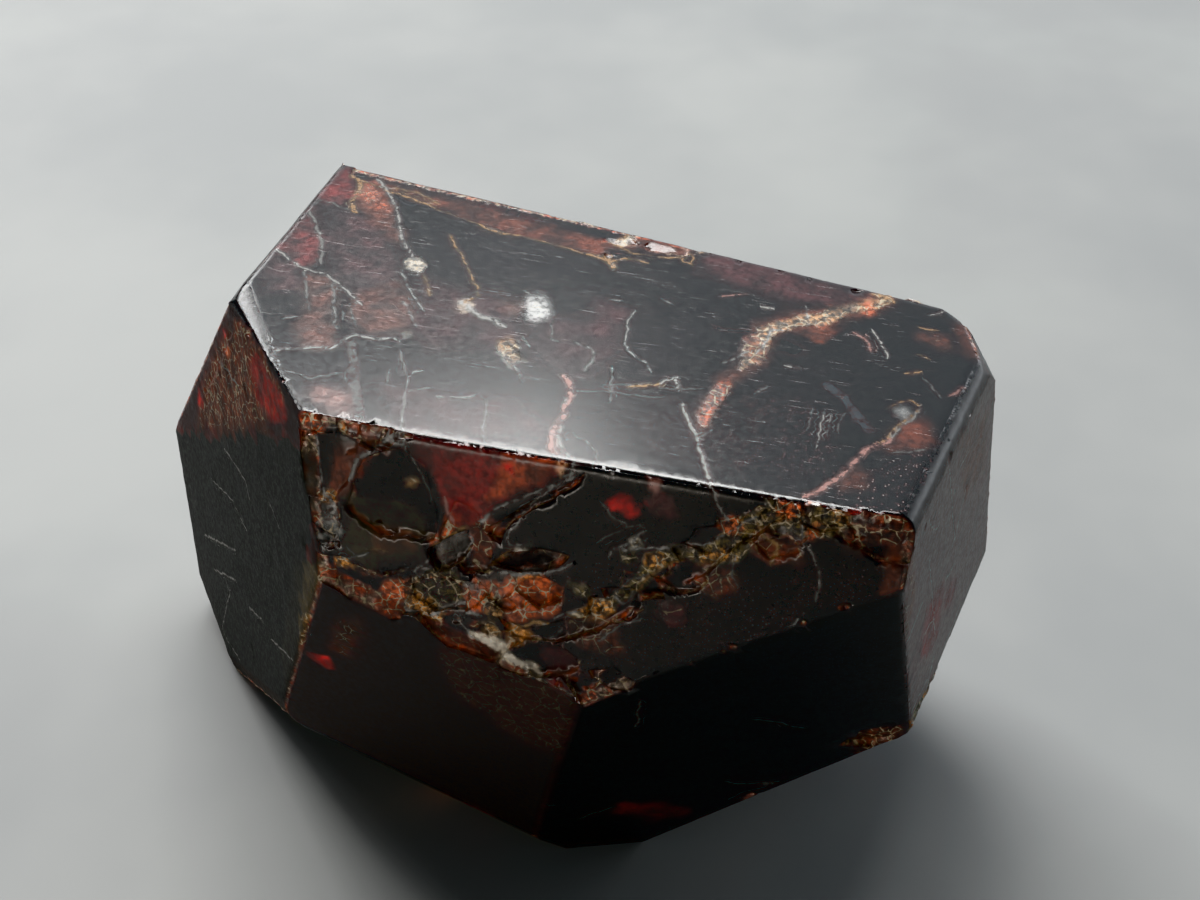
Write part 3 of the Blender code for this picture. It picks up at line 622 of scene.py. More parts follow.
def smooth(value, low, high):
    """0 below low, 1 above high, and an S curve between."""
    share = np.clip((value - low) / (high - low), 0.0, 1.0)
    return share * share * (3.0 - 2.0 * share)


def lattice_values(cells, seed):
    """A number from -1 to 1 for each whole-numbered place, always the same for the same seed."""
    mixed = cells.astype(np.int64) @ np.array((73856093, 19349663, 83492791)) + seed * 2654435761
    mixed = (mixed ^ (mixed >> 13)) * 1274126177 & 0xFFFFFFFF
    mixed = (mixed ^ (mixed >> 16)) * 2246822519 & 0xFFFFFFFF
    return (mixed ^ (mixed >> 15)) / 2147483647.5 - 1.0


def noise(points, size, seed, octaves=1):
    """Smooth noise from about -1 to 1, with features of this size in millimetres."""
    total = np.zeros(len(points))
    strength = 1.0
    for octave in range(octaves):
        scaled = points / size * 2**octave + 17.31 * seed
        cell = np.floor(scaled)
        part = scaled - cell
        part = part * part * (3.0 - 2.0 * part)
        for corner in np.ndindex(2, 2, 2):
            share = np.prod(np.where(np.array(corner), part, 1.0 - part), axis=1)
            total += strength * share * lattice_values(cell + corner, seed + octave)
        strength *= 0.5
    return total


def cell_noise(points, size, seed):
    """For each point the distances to the nearest and the next of a jittered set of seeds this
    far apart, and a number from -1 to 1 that belongs to the nearest."""
    scaled = points / size + 5.7 * seed
    cell = np.floor(scaled)
    nearest = np.full(len(points), 9.0)
    second = np.full(len(points), 9.0)
    label = np.zeros(len(points))
    for step in np.ndindex(3, 3, 3):
        home = cell + np.array(step) - 1.0
        jitter = np.stack([lattice_values(home, seed + k) for k in (1, 2, 3)], axis=1)
        away = np.linalg.norm(home + 0.5 + 0.45 * jitter - scaled, axis=1)
        closer = away < nearest
        second = np.where(closer, nearest, np.minimum(second, away))
        label = np.where(closer, jitter[:, 0], label)
        nearest = np.where(closer, away, nearest)
    return nearest * size, second * size, label


def jagged(points, dice):
    """The line through these points, broken into short steps that stray sideways."""
    path = [np.array(points[0], float)]
    for start, end in zip(points, points[1:]):
        start, end = np.array(start, float), np.array(end, float)
        along = end - start
        length = np.linalg.norm(along)
        side = np.array((-along[1], along[0])) / max(length, 1e-6)
        steps = max(1, round(length / CRACK_STEP))
        for k in range(1, steps):
            path.append(start + along * k / steps + side * dice.uniform(-CRACK_STRAY, CRACK_STRAY))
        path.append(end)
    return np.array(path)


def near_box(place, path, margin):
    """Indices of the places within this margin of the path's box."""
    low, high = path.min(axis=0) - margin, path.max(axis=0) + margin
    return np.nonzero(((place > low) & (place < high)).all(axis=1))[0]


def offset_from(place, path):
    """Signed distance of each place from the line, positive on its left."""
    best = np.full(len(place), 1e9)
    sign = np.ones(len(place))
    for start, end in zip(path, path[1:]):
        along = end - start
        away = place - start
        share = np.clip(away @ along / max(along @ along, 1e-9), 0.0, 1.0)
        gap = away - share[:, None] * along
        distance = np.hypot(gap[:, 0], gap[:, 1])
        closer = distance < best
        best = np.where(closer, distance, best)
        side = along[0] * away[:, 1] - along[1] * away[:, 0]
        sign = np.where(closer, np.where(side < 0.0, -1.0, 1.0), sign)
    return best * sign


def inside_by(place, outline):
    """How far each place lies inside the outline; negative outside."""
    closed = np.vstack([outline, outline[:1]])
    distance = np.abs(offset_from(place, closed))
    odd = np.zeros(len(place), bool)
    for (x0, y0), (x1, y1) in zip(closed, closed[1:]):
        crosses = (y0 > place[:, 1]) != (y1 > place[:, 1])
        if y0 != y1:
            reach = x0 + (place[:, 1] - y0) * (x1 - x0) / (y1 - y0)
            odd ^= crosses & (place[:, 0] < reach)
    return np.where(odd, distance, -distance)


def wander(dice, start, heading, length):
    """A line that sets off at this heading in degrees and turns a little at each step."""
    path = [start]
    angle = math.radians(heading)
    for _ in range(max(2, round(length / WANDER_STEP))):
        angle += math.radians(dice.uniform(-WANDER_TURN, WANDER_TURN))
        x, y = path[-1]
        path.append((x + WANDER_STEP * math.cos(angle), y + WANDER_STEP * math.sin(angle)))
    return tuple(path)


def blob(dice, centre, reach, stretch, turn):
    """An uneven outline about a centre, longer along the turn in degrees."""
    outline = []
    angle = math.radians(turn)
    for k in range(BLOB_POINTS):
        way = 2 * math.pi * k / BLOB_POINTS
        far = reach * dice.uniform(0.65, 1.2)
        x, y = far * stretch * math.cos(way), far / stretch * math.sin(way)
        outline.append((centre[0] + x * math.cos(angle) - y * math.sin(angle),
                        centre[1] + x * math.sin(angle) + y * math.cos(angle)))
    return tuple(outline)


def hidden_features():
    """Cracks and patches for the faces turned away, in the same form as CRACKS and PATCHES."""
    cracks, patches = {}, {}
    for face, (low, high, vein_rows) in HIDDEN.items():
        dice = random.Random(face)
        lines, spots = [], []
        for start, heading, length, kind in vein_rows:
            path = wander(dice, start, heading, length)
            lines.append((kind, 0.08, 0.75, path))
            for x, y in path[::2]:
                spots.append((dice.choice(VEIN_STAINS), dice.uniform(0.35, 0.9), 0.9,
                              blob(dice, (x, y), dice.uniform(0.5, 1.3), 1.5, heading)))
            for x, y in path[1::3]:
                branch = wander(dice, (x, y), heading + dice.choice((-60, 55, 80)), length * 0.3)
                lines.append(("pale", 0.05, dice.uniform(0.3, 0.7), branch))
        for _ in range(HAIRLINES):
            start = (dice.uniform(low[0], high[0]), dice.uniform(low[1], high[1]))
            lines.append(("pale", 0.035, dice.uniform(0.2, 0.5),
                          wander(dice, start, dice.uniform(0, 180), dice.uniform(0.8, 4.0))))
        for _ in range(FAINT_PATCHES):
            place = (dice.uniform(low[0], high[0]), dice.uniform(low[1], high[1]))
            spots.append((dice.choice(FAINT_STAINS), dice.uniform(0.2, 0.5), 0.2,
                          blob(dice, place, dice.uniform(1.0, 3.0), 1.3, dice.uniform(0, 180))))
        cracks[face], patches[face] = lines, spots
    return cracks, patches
def direction(bearing, elevation):
    """Unit vector at this bearing from +Y towards +X and this height above the horizon."""
    b, e = math.radians(bearing), math.radians(elevation)
    return Vector((math.sin(b) * math.cos(e), math.cos(b) * math.cos(e), math.sin(e)))


TOWARDS_CAMERA = direction(180.0 - CAMERA_AZIMUTH, CAMERA_ELEVATION)


def eye_place():
    """Where the camera stands in the frame."""
    low, high = cad_box
    return (low + high) / 2 + CAMERA_TARGET + TOWARDS_CAMERA * CAMERA_DISTANCE




class Surface:
    """Where the marks lie on the faces of the solid."""

    def __init__(self, solid):
        points = self.measured(np.array([v.co[:] for v in solid.data.vertices]))
        self.reach = (points @ OUT.T).max(axis=0)
        cracks, patches = hidden_features()
        dice = random.Random("cracks")
        self.cracks = {}
        self.patches = {}
        for face in FACE_NAMES:
            rows = self.traced(face, CRACKS) + cracks.get(face, [])
            self.cracks[face] = [(kind, width, strength, jagged(path, dice))
                                 for kind, width, strength, path in rows]
            rows = patches.get(face, []) + self.traced(face, PATCHES)
            self.patches[face] = [(kind, strength, grit, np.array(outline))
                                  for kind, strength, grit, outline in rows]

    def traced(self, face, table):
        """The table's rows for this face, with each trace's pixels as places across and up: where
        the camera's sight lines through them meet the face."""
        index = FACE_NAMES.index(face)
        eye = self.measured(np.array(eye_place()))
        back = np.array(TOWARDS_CAMERA)
        right = outward(CAMERA_AZIMUTH, 0.0)
        up = np.cross(back, right)
        focal = VIEW_WIDTH * LENS / SENSOR
        rows = []
        for kind, size, amount, trace in table.get(face, ()):
            pixels = np.array([pixel.split(",") for pixel in trace.split()], float)
            x, y = (pixels - np.array((VIEW_WIDTH, VIEW_HEIGHT)) / 2).T / focal
            sight = np.outer(x, right) - np.outer(y, up) - back
            far = (self.reach[index] - eye @ OUT[index]) / (sight @ OUT[index])
            met = eye + sight * far[:, None]
            rows.append((kind, size, amount, np.stack([met @ ACROSS[index], met @ UP[index]], 1)))
        return rows

    @staticmethod
    def measured(points):
        """Frame places in metres as millimetres from the faces' axis."""
        return points / MM - AXIS

    def homes(self, points, normals=None):
        """The face that each point belongs to."""
        score = self.reach - points @ OUT.T
        if normals is not None:
            score = score + TURN_COST * (1.0 - normals @ OUT.T)
        return score.argmin(axis=1)

    def each_face(self, points, home):
        """For each face with points: its name, their indices and their places across and up."""
        for index, face in enumerate(FACE_NAMES):
            mine = np.nonzero(home == index)[0]
            if len(mine):
                place = np.stack([points[mine] @ ACROSS[index], points[mine] @ UP[index]], axis=1)
                place[:, 1] = np.minimum(place[:, 1], BRIM.get(face, FAR))
                yield face, mine, place

    def spacing(self, points):
        """How far apart the mesh's points should be at each of these places."""
        wanted = np.full(len(points), COARSE)
        home = self.homes(points)
        for face, mine, place in self.each_face(points, home):
            here = np.full(len(mine), FACE_SPACING.get(face, COARSE))
            for _, strength, grit, outline in self.patches[face]:
                if strength * grit < GRITTY:
                    continue
                near = near_box(place, outline, EDGE_RAG)
                if len(near):
                    within = inside_by(place[near], outline) > -EDGE_RAG
                    here[near[within]] = np.minimum(here[near[within]], FINE)
            for _, _, strength, path in self.cracks[face]:
                near = near_box(place, path, CRACK_REACH)
                if len(near):
                    close = np.abs(offset_from(place[near], path)) < CRACK_REACH
                    here[near[close]] = np.minimum(here[near[close]], FINEST)
            wanted[mine] = here
        order, depth = self.two_nearest(points)
        width = self.rounding(order)
        open_here = depth[:, 0] > BROKEN_DEPTH[0]
        wanted = np.where(open_here, np.minimum(wanted, BROKEN_SPACING), wanted)
        away = np.isin(home, indices_of(TURNED_AWAY))
        wanted = np.where(away, AWAY_SPACING * wanted, wanted)
        near = (depth[:, 1] - depth[:, 0] < 1.2 * width) & (width > LEAST_ROUND)
        return np.where(near, np.minimum(wanted, EDGE_SPACING + 0.15 * width), wanted)

    def healed(self, points):
        """The points with those in a healed chip or pit brought back towards the faces."""
        depths = self.reach - points @ OUT.T
        home = depths.argmin(axis=1)
        depth = depths.min(axis=1)
        keep = np.ones(len(points))
        for face, rows in HEALED.items():
            index = FACE_NAMES.index(face)
            place = np.stack([points @ ACROSS[index], points @ UP[index]], axis=1)
            for start, end, reach, kept in rows:
                away = np.abs(offset_from(place, np.array((start, end))))
                away = np.where(depths[:, index] < HEAL_DEPTH, away, FAR)
                keep = np.minimum(keep, kept + (1.0 - kept) * smooth(away, 0.7 * reach, reach))
        return points + OUT[home] * (depth * (1.0 - keep))[:, None]

    def narrowed(self, points):
        """The points with the narrow faces moved out, as far as the faces beside them."""
        for face, gain in NARROWED.items():
            index = FACE_NAMES.index(face)
            depths = self.reach - points @ OUT.T
            turn = OUT @ OUT[index]
            room = np.where(turn > FLAT, depths / np.maximum(turn, FLAT), FAR)
            room[:, index] = FAR
            step = np.clip(room.min(axis=1), 0.0, gain)
            mine = depths[:, index] < WELD_MM
            points = points + OUT[index] * (step * mine)[:, None]
            self.reach[index] += gain
        return points

    def two_nearest(self, points):
        """For each point its two nearest faces and its depth below each."""
        depths = self.reach - points @ OUT.T
        order = np.argsort(depths, axis=1)[:, :2]
        return order, np.take_along_axis(depths, order, axis=1)

    def rounding(self, order):
        """How far from the edge between each of these two faces the faces start to turn."""
        polished = np.isin(order, indices_of(POLISHED)).any(axis=1)
        sharp = np.isin(order, indices_of(TURNED_AWAY)).any(axis=1)
        return np.where(polished, EDGE_ROUND, np.where(sharp, LEAST_ROUND, SIDE_ROUND))

    def rounded(self, points):
        """The points near an edge between two faces drawn in, so that the edge is round."""
        order, depth = self.two_nearest(points)
        width = self.rounding(order)
        blend = np.clip(1.0 - (depth[:, 1] - depth[:, 0]) / width, 0.0, 1.0)
        turn = OUT[order[:, 0]] * (1.0 - blend / 2)[:, None] + OUT[order[:, 1]] * (
            blend / 2)[:, None]
        step = width * blend**2 / 4 / np.maximum((turn * turn).sum(axis=1), 0.2)
        step *= 1.0 - smooth(depth[:, 0], 0.02, 0.12)
        return points - turn * step[:, None]

    def filled(self, mesh):
        """Takes the points of the filled pits out of the mesh, which closes it over them."""
        points = self.measured(np.array([v.co[:] for v in mesh.verts]))
        depths = self.reach - points @ OUT.T
        inner = np.zeros(len(points), bool)
        for face, centre, reach in FILLED:
            index = FACE_NAMES.index(face)
            place = np.stack([points @ ACROSS[index], points @ UP[index]], axis=1)
            away = np.linalg.norm(place - np.array(centre), axis=1)
            inner |= (away < reach) & (depths[:, index] < HEAL_DEPTH) & (depths.min(axis=1) > WELD_MM)
        mesh.verts.ensure_lookup_table()
        bmesh.ops.dissolve_verts(mesh, verts=[mesh.verts[i] for i in np.nonzero(inner)[0]])
        bmesh.ops.triangulate(mesh, faces=[f for f in mesh.faces if len(f.verts) > 3])

    def broken(self, points, normals):
        """1 where the surface is neither on a face nor along one, and 0 on the faces."""
        order, depth = self.two_nearest(points)
        turn = 1.0 - (normals * OUT[order[:, 0]]).sum(axis=1)
        return smooth(depth[:, 0], *BROKEN_DEPTH) * smooth(turn, *BROKEN_TURN)

    def marks(self, points, normals, broken):
        """Colour, cover, grain, specks, dullness and cracks at each point."""
        count = len(points)
        tint = np.tile(BODY_COLOUR, (count, 1))
        cover, grain, specks = np.zeros(count), np.zeros(count), np.zeros(count)
        dull = np.full(count, DULLNESS)
        offset, weight = np.full(count, FAR), np.zeros(count)
        line_tint = np.tile(np.array(STAINS["pale"][0]), (count, 1))
        rag = EDGE_RAG * noise(points, 1.1, 3, 3)

        # What is broken open shows crushed stone.
        shade = smooth(noise(points, 0.6, 22, 2), -0.5, 0.5)[:, None]
        crushed = np.array(STAINS["ember"][0]) * (1.0 - shade) + np.array(STAINS["cream"][0]) * shade
        tint += (crushed - tint) * 0.8 * broken[:, None]
        cover, grain = 0.7 * broken, 0.7 * broken
        for face, mine, place in self.each_face(points, self.homes(points, normals)):
            dull[mine] = FACE_DULLNESS.get(face, DULLNESS)
            for kind, strength, grit, outline in self.patches[face]:
                near = near_box(place, outline, EDGE_RAG + DEEP_SOFT)
                if len(near) == 0:
                    continue
                here = mine[near]
                soft = EDGE_SOFT if grit > GRITTY or face not in POLISHED else DEEP_SOFT
                share = smooth(inside_by(place[near], outline) + rag[here], -soft, soft)
                if kind == "speck":
                    specks[here] = np.maximum(specks[here], strength * share)
                    continue
                colour, hides = STAINS[kind]
                part = strength * share
                cover[here] += (hides - cover[here]) * part
                over = np.clip(part * hides / np.maximum(cover[here], HIDES_NOTHING), part, 1.0)
                tint[here] += (np.array(colour) - tint[here]) * over[:, None]
                grain[here] += (grit - grain[here]) * share
            for kind, width, strength, path in self.cracks[face]:
                near = near_box(place, path, CRACK_REACH)
                if len(near) == 0:
                    continue
                away = offset_from(place[near], path)
                here = mine[near]
                scaled = away / width
                closer = (np.abs(away) < CRACK_REACH) & (np.abs(scaled) < np.abs(offset[here]))
                here, away, scaled = here[closer], away[closer], scaled[closer]
                offset[here] = scaled
                weight[here] = strength * smooth(-np.abs(away), -CRACK_REACH, -0.7 * CRACK_REACH)
                line_tint[here] = STAINS[kind][0]
        return {"tint": tint, "cover": cover, "grain": grain, "specks": specks, "dull": dull,
                "offset": offset, "weight": weight, "line_tint": line_tint}


def unfolded(mesh):
    """Takes out pairs of faces that lie on each other, and what they leave loose."""
    mesh.verts.index_update()
    sharing = {}
    for face in mesh.faces:
        sharing.setdefault(frozenset(vert.index for vert in face.verts), []).append(face)
    doubled = [face for faces in sharing.values() if len(faces) > 1 for face in faces]
    bmesh.ops.delete(mesh, geom=doubled, context="FACES")
    mesh.verts.index_update()


def refined(source, surface):
    """The solid's mesh, closed, with its faces split into small, even triangles."""
    mesh = bmesh.new()
    mesh.from_mesh(source.data)
    bmesh.ops.remove_doubles(mesh, verts=mesh.verts, dist=WELD)
    surface.filled(mesh)
    for _ in range(MOST_SPLITS):
        ends = np.array([[v.co[:] for v in edge.verts] for edge in mesh.edges])
        length = np.linalg.norm(ends[:, 0] - ends[:, 1], axis=1) / MM
        wanted = surface.spacing(surface.measured(ends.mean(axis=1)))
        long = np.nonzero(length > SPLIT_OVER * wanted)[0]
        if len(long) == 0:
            break
        mesh.edges.ensure_lookup_table()
        bmesh.ops.subdivide_edges(mesh, edges=[mesh.edges[i] for i in long], cuts=1)
        bmesh.ops.triangulate(mesh, faces=[f for f in mesh.faces if len(f.verts) > 3])
        flat = [edge for edge in mesh.edges if edge.calc_face_angle(1.0) < FLAT]
        bmesh.ops.beautify_fill(mesh, faces=mesh.faces[:], edges=flat)
        unfolded(mesh)
    return mesh


def points_of(mesh):
    """Where the mesh's points are, in millimetres from the faces' axis."""
    return Surface.measured(np.array([v.co[:] for v in mesh.verts]))


def place_at(mesh, points):
    """Moves the mesh's points to these places, in millimetres from the faces' axis."""
    for vert, place in zip(mesh.verts, (points + AXIS) * MM):
        vert.co = place
    mesh.normal_update()


def normals_of(mesh):
    """The direction that each of the mesh's points faces."""
    return np.array([v.normal[:] for v in mesh.verts])


def relief(points, marks):
    """How far each point moves out along its normal, in millimetres."""
    swell = 0.012 * noise(points, 6.0, 11) + 0.006 * noise(points, 2.2, 12)
    rough = smooth(marks["dull"], 0.2, 0.4)
    swell += rough * 0.016 * noise(points, 1.3, 13, 2)
    nearest, second, label = cell_noise(points, 0.55, 14)
    crumbs = 0.10 * label + 0.09 * noise(points, 0.5, 15, 2) - 0.05 * smooth(
        nearest - second, -0.10, 0.0)
    swell += marks["grain"] * crumbs * (0.2 + 0.8 * rough)
    groove = np.exp(-((marks["offset"] * 0.8) ** 2)) * marks["weight"]
    return swell - (0.008 + 0.03 * rough) * groove


def dressed_crystal(solid):
    """The crystal's own mesh, with its relief and the marks that its material reads."""
    surface = Surface(solid)
    mesh = refined(solid, surface)
    place_at(mesh, surface.healed(points_of(mesh)))
    points = surface.narrowed(points_of(mesh))
    place_at(mesh, points)
    broken = surface.broken(points, normals_of(mesh))
    points = surface.rounded(points)
    place_at(mesh, points)
    normals = normals_of(mesh)
    marks = surface.marks(points, normals, broken)
    edge = np.array([max((e.calc_face_angle(0.0) for e in v.link_edges), default=0.0)
                     for v in mesh.verts])
    out = relief(points, marks)
    worn = smooth(edge, 0.15, 0.5)
    out -= worn * 0.012 * smooth(noise(points, 0.7, 21, 3), 0.0, 0.6)
    low, high = (np.array(c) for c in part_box(NODE))
    moved = np.array([v.co[:] for v in mesh.verts]) + normals * out[:, None] * MM
    moved = np.clip(moved, low, high)
    for vert, place in zip(mesh.verts, moved):
        vert.co = place
    data = bpy.data.meshes.new("crystal")
    mesh.to_mesh(data)
    mesh.free()
    for name in ("cover", "grain", "specks", "dull", "offset", "weight"):
        layer = data.attributes.new(name, "FLOAT", "POINT")
        layer.data.foreach_set("value", marks[name].astype(np.float32))
    for name in ("tint", "line_tint"):
        layer = data.attributes.new(name, "FLOAT_COLOR", "POINT")
        rgba = np.hstack([marks[name], np.ones((len(points), 1))])
        layer.data.foreach_set("color", rgba.astype(np.float32).ravel())
    piece = bpy.data.objects.new("crystal", data)
    bpy.context.scene.collection.objects.link(piece)
    data.shade_smooth()
    data.set_sharp_from_angle(angle=SHARP)
    return piece


class Nodes:
    """Short ways to add shader nodes. Each returns the output that the next one reads."""

    def __init__(self, material):
        material.use_nodes = True
        self.tree = material.node_tree
        self.shader = self.tree.nodes["Principled BSDF"]
        self.output = self.tree.nodes["Material Output"]

    def add(self, kind, settings=(), inputs=(), out=0):
        node = self.tree.nodes.new(kind)
        for name, value in dict(settings).items():
            setattr(node, name, value)
        for name, value in dict(inputs).items():
            self.feed(node.inputs[name], value)
        return node.outputs[out]

    def feed(self, socket, value):
        if isinstance(value, bpy.types.NodeSocket):
            self.tree.links.new(value, socket)
        else:
            socket.default_value = value

    def attribute(self, name, out="Fac"):
        return self.add("ShaderNodeAttribute", {"attribute_name": name}, out=out)

    def math(self, operation, *values, clamp=False):
        inputs = dict(enumerate(values))
        return self.add("ShaderNodeMath", {"operation": operation, "use_clamp": clamp}, inputs)

    def curve(self, value, low, high, to_low=0.0, to_high=1.0):
        """An S curve from to_low, where the value is low, to to_high, where it is high."""
        return self.add("ShaderNodeMapRange", {"interpolation_type": "SMOOTHSTEP"}, {
            "Value": value, "From Min": low, "From Max": high, "To Min": to_low,
            "To Max": to_high})

    def mix(self, factor, first, second, blend="MIX"):
        return self.add("ShaderNodeMix", {"data_type": "RGBA", "blend_type": blend},
                        {0: factor, 6: first, 7: second}, out=2)

    def places(self, scale, turn=0.0):
        """Object coordinates in millimetres, turned about Z, then stretched."""
        place = self.add("ShaderNodeTexCoord", out="Object")
        return self.add("ShaderNodeMapping", {}, {
            "Vector": place, "Rotation": (0.0, 0.0, math.radians(turn)),
            "Scale": tuple(s / MM for s in scale)})

    def noise(self, where, scale, detail=3.0, rough=0.55):
        return self.add("ShaderNodeTexNoise", {}, {
            "Vector": where, "Scale": scale, "Detail": detail, "Roughness": rough})

    def warped(self, where, scale, reach):
        """Places pushed about by noise, so that what is drawn on them isn't regular."""
        push = self.add("ShaderNodeTexNoise", {}, {"Vector": where, "Scale": scale, "Detail": 2.0},
                        out=1)
        push = self.add("ShaderNodeVectorMath", {"operation": "SCALE"}, {0: push, "Scale": reach})
        return self.add("ShaderNodeVectorMath", {"operation": "ADD"}, {0: where, 1: push})

    def cells(self, where, scale, feature="F1", out="Distance"):
        return self.add("ShaderNodeTexVoronoi", {"feature": feature},
                        {"Vector": where, "Scale": scale}, out=out)


def garnet_material():
    """Clear dark red stone with its stains, painted glints, glow and shade, cracks, grains, specks and
    polishing scratches.
    """
    material = bpy.data.materials.new("garnet")
    n = Nodes(material)
    here = n.places((1.0, 1.0, 1.0))
    grain, specks = n.attribute("grain"), n.attribute("specks")

    fine = n.noise(here, 3.2, 4.0, 0.62)
    coarse = n.noise(here, 0.75, 3.0)
    crumb = n.cells(here, 3.4, out="Color")
    crumb_value = n.add("ShaderNodeSeparateColor", {}, {"Color": crumb})
    crumb_edge = n.cells(here, 3.4, "DISTANCE_TO_EDGE")

    # Grains differ in brightness, and dark seams run between them.
    bright = n.math("MULTIPLY_ADD", crumb_value, 1.1, 0.35)
    bright = n.math("MULTIPLY", bright, n.curve(fine, 0.32, 0.68, 0.35, 1.6))
    bright = n.math("MULTIPLY", bright, n.curve(crumb_edge, 0.0, 0.10, 0.35, 1.0))
    plain = n.curve(coarse, 0.30, 0.70, 0.65, 1.3)
    bright = n.math("ADD", n.math("MULTIPLY", bright, grain),
                    n.math("MULTIPLY", plain, n.math("SUBTRACT", 1.0, grain)))
    stains_and_painted_light = n.add("ShaderNodeVectorMath", {"operation": "SCALE"},
                    {0: n.attribute("tint", "Color"), "Scale": bright})

    cover = n.attribute("cover")
    cover = n.math("MULTIPLY", cover, n.curve(coarse, 0.28, 0.62, 0.45, 1.15), clamp=True)
    cover = n.math("MULTIPLY", cover, n.curve(fine, 0.36, 0.60, 0.62, 1.12), clamp=True)
    gaps = n.math("MULTIPLY", grain, n.curve(fine, 0.40, 0.58, 0.85, 0.0))
    cover = n.math("MULTIPLY", cover, n.math("SUBTRACT", 1.0, gaps), clamp=True)

    # Cracks: a crisp line where the offset passes through nothing, broken here and there.
    away = n.math("ABSOLUTE", n.attribute("offset"))
    away = n.math("ADD", away, n.curve(fine, 0.25, 0.75, -0.45, 0.45))
    line = n.math("MAXIMUM", n.curve(away, 0.25, 1.35, 0.62, 0.0), n.curve(away, 0.0, 3.4, 0.22, 0.0))
    line = n.math("MULTIPLY", line, n.attribute("weight"))
    line = n.math("MULTIPLY", line, n.curve(n.noise(here, 2.6, 3.0), 0.36, 0.56, 0.15, 1.1),
                  clamp=True)

    # Crackle: a fine net of pale lines through the granular stone.
    net = n.cells(n.warped(here, 1.6, 0.35), 1.35, "DISTANCE_TO_EDGE")
    net = n.math("MULTIPLY", n.curve(net, 0.0, 0.06, 1.0, 0.0), n.curve(fine, 0.40, 0.58))
    net = n.math("MULTIPLY", net, n.curve(grain, 0.15, 0.7), clamp=True)

    # Specks of dust and crushed stone.
    dust = n.cells(here, 6.5)
    pick = n.add("ShaderNodeSeparateColor", {}, {"Color": n.cells(here, 6.5, out="Color")})
    dust = n.math("MULTIPLY", n.curve(dust, 0.10, 0.42, 1.0, 0.0), n.curve(pick, 0.35, 0.9))
    dust = n.math("MULTIPLY", dust, n.math("MULTIPLY_ADD", specks, 0.85, 0.03), clamp=True)

    # Fine scratches from polishing, in three directions.
    scratches = None
    for turn, stretch, least in ((12.0, 9.0, 0.66), (-38.0, 13.0, 0.68), (78.0, 8.0, 0.67)):
        lines = n.noise(n.places((0.35, stretch, stretch), turn), 1.0, 2.0, 0.7)
        lines = n.curve(lines, least, least + 0.06)
        scratches = lines if scratches is None else n.math("MAXIMUM", scratches, lines)
    scratched = n.math("MULTIPLY", scratches, n.curve(coarse, 0.40, 0.62, 0.25, 1.0))
    scratched = n.math("MULTIPLY", scratched, n.curve(n.attribute("dull"), 0.20, 0.34, 1.0, 0.08))

    # The tint carries stains and also painted glints, a painted glow and painted shade.
    colour = n.mix(n.math("MULTIPLY", cover, 12.0, clamp=True), BODY_COLOUR4, stains_and_painted_light)
    colour = n.mix(n.math("MULTIPLY", net, 5.0, clamp=True), colour, NET_COLOUR)
    colour = n.mix(n.math("MULTIPLY", line, 5.0, clamp=True), colour,
                   n.attribute("line_tint", "Color"))
    colour = n.mix(n.math("MAXIMUM", dust, n.math("MULTIPLY", scratched, 0.22)), colour,
                   DUST_COLOUR)
    hidden = n.math("MAXIMUM", n.math("MAXIMUM", cover, line), n.math("MAXIMUM", dust, net))
    hidden = n.math("MAXIMUM", hidden, n.math("MULTIPLY", scratched, 0.18), clamp=True)

    dull = n.math("MULTIPLY", n.attribute("dull"), n.curve(fine, 0.3, 0.7, 0.85, 1.2))
    dull = n.math("ADD", dull, n.math("MULTIPLY", grain, 0.22))
    dull = n.math("ADD", dull, n.math("MULTIPLY", scratched, 0.10), clamp=True)

    height = n.math("MULTIPLY", n.math("MULTIPLY_ADD", grain, 1.0, 0.005), fine)
    height = n.math("SUBTRACT", height, n.math("MULTIPLY", scratched, 0.07))
    height = n.math("SUBTRACT", height, n.math("MULTIPLY", line, 0.04))
    bump = n.add("ShaderNodeBump", {}, {"Height": height, "Strength": 0.6,
                                        "Distance": 0.09 * MM})

    n.feed(n.shader.inputs["Base Color"], colour)
    n.feed(n.shader.inputs["Roughness"], dull)
    n.feed(n.shader.inputs["Transmission Weight"], n.math("SUBTRACT", 1.0, hidden))
    n.feed(n.shader.inputs["Normal"], bump)
    n.shader.inputs["IOR"].default_value = GARNET_IOR
    absorbing = n.tree.nodes.new("ShaderNodeVolumeAbsorption")
    absorbing.inputs["Color"].default_value = ABSORBED_COLOUR
    absorbing.inputs["Density"].default_value = ABSORBED_DENSITY
    n.tree.links.new(absorbing.outputs[0], n.output.inputs["Volume"])
    return material


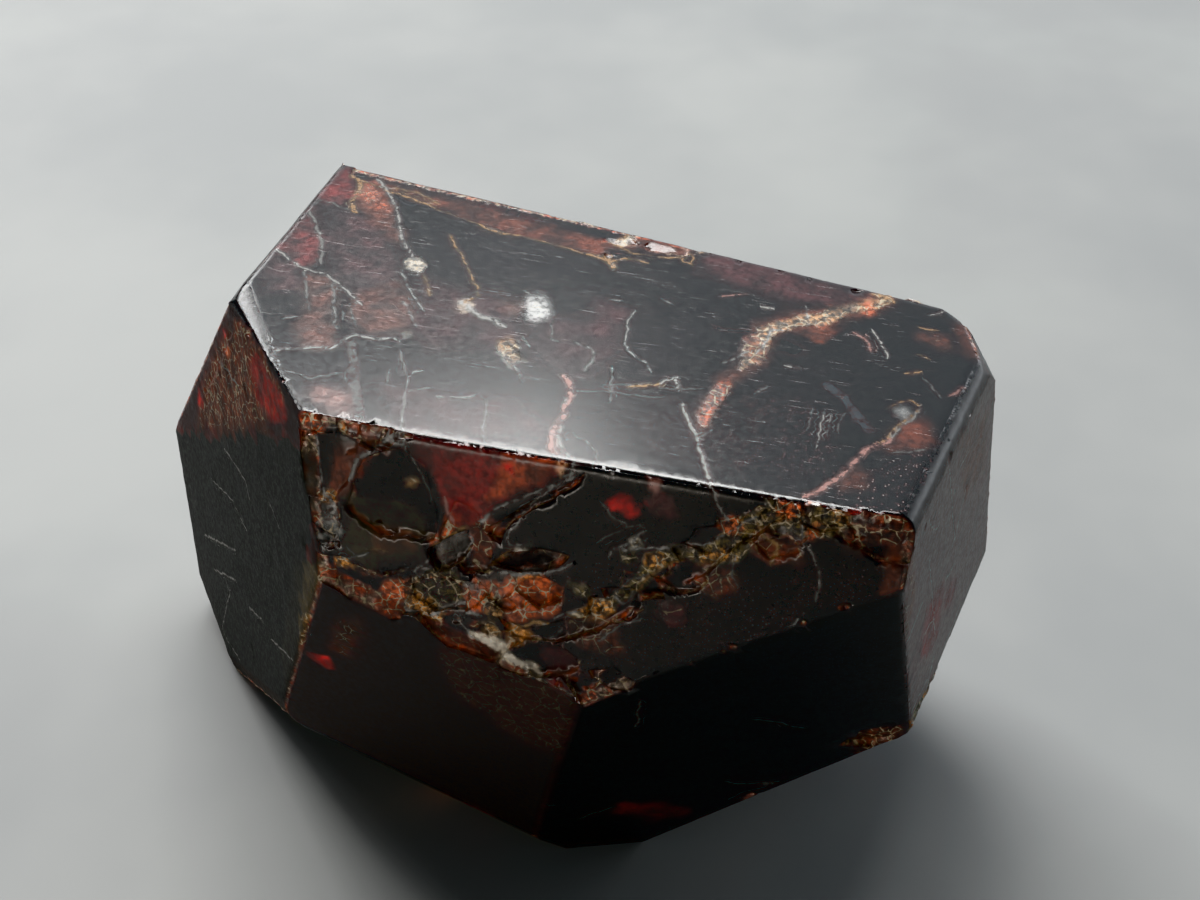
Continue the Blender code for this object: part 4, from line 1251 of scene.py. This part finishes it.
def floor():
    """A large pale floor."""
    mesh = bpy.data.meshes.new("floor")
    half = FLOOR_SIDE / 2
    mesh.from_pydata([(-half, -half, 0.0), (half, -half, 0.0), (half, half, 0.0),
                      (-half, half, 0.0)], [], [(0, 1, 2, 3)])
    material = bpy.data.materials.new("floor")
    n = Nodes(material)
    where = n.places((1.0, 1.0, 1.0))
    shade = n.mix(n.curve(n.noise(where, 0.02, 4.0), 0.35, 0.65), FLOOR_DARK, FLOOR_LIGHT)
    n.feed(n.shader.inputs["Base Color"], shade)
    n.shader.inputs["Roughness"].default_value = 0.6
    mesh.materials.append(material)
    piece = bpy.data.objects.new("floor", mesh)
    bpy.context.scene.collection.objects.link(piece)


def softbox(name, bearing, elevation, distance, size, power, colour):
    """A rectangular light that faces the crystal."""
    light = bpy.data.lights.new(name, "AREA")
    light.shape = "RECTANGLE"
    light.size, light.size_y = size
    light.energy = power
    light.color = colour
    holder = bpy.data.objects.new(name, light)
    bpy.context.scene.collection.objects.link(holder)
    way = direction(bearing, elevation)
    holder.location = LIGHT_AIM + way * distance
    holder.rotation_euler = way.to_track_quat("Z", "Y").to_euler()


def studio():
    """A dim room and soft lights behind the crystal."""
    world = bpy.data.worlds.new("room")
    bpy.context.scene.world = world
    world.use_nodes = True
    back = world.node_tree.nodes["Background"]
    back.inputs["Color"].default_value = ROOM_COLOUR
    back.inputs["Strength"].default_value = ROOM_STRENGTH
    for row in SOFTBOXES:
        softbox(*row)


def camera():
    """The camera, above the front of the crystal and to its right."""
    data = bpy.data.cameras.new("camera")
    data.lens = LENS
    data.sensor_width = SENSOR
    data.clip_start = 0.004
    holder = bpy.data.objects.new("camera", data)
    bpy.context.scene.collection.objects.link(holder)
    holder.location = eye_place()
    holder.rotation_euler = TOWARDS_CAMERA.to_track_quat("Z", "Y").to_euler()
    bpy.context.scene.camera = holder


crystal = dressed_crystal(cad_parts[NODE])
crystal.data.materials.append(garnet_material())
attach(crystal, "root")
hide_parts(NODE)
floor()
studio()
camera()
bpy.context.scene.view_settings.view_transform = "Khronos PBR Neutral"
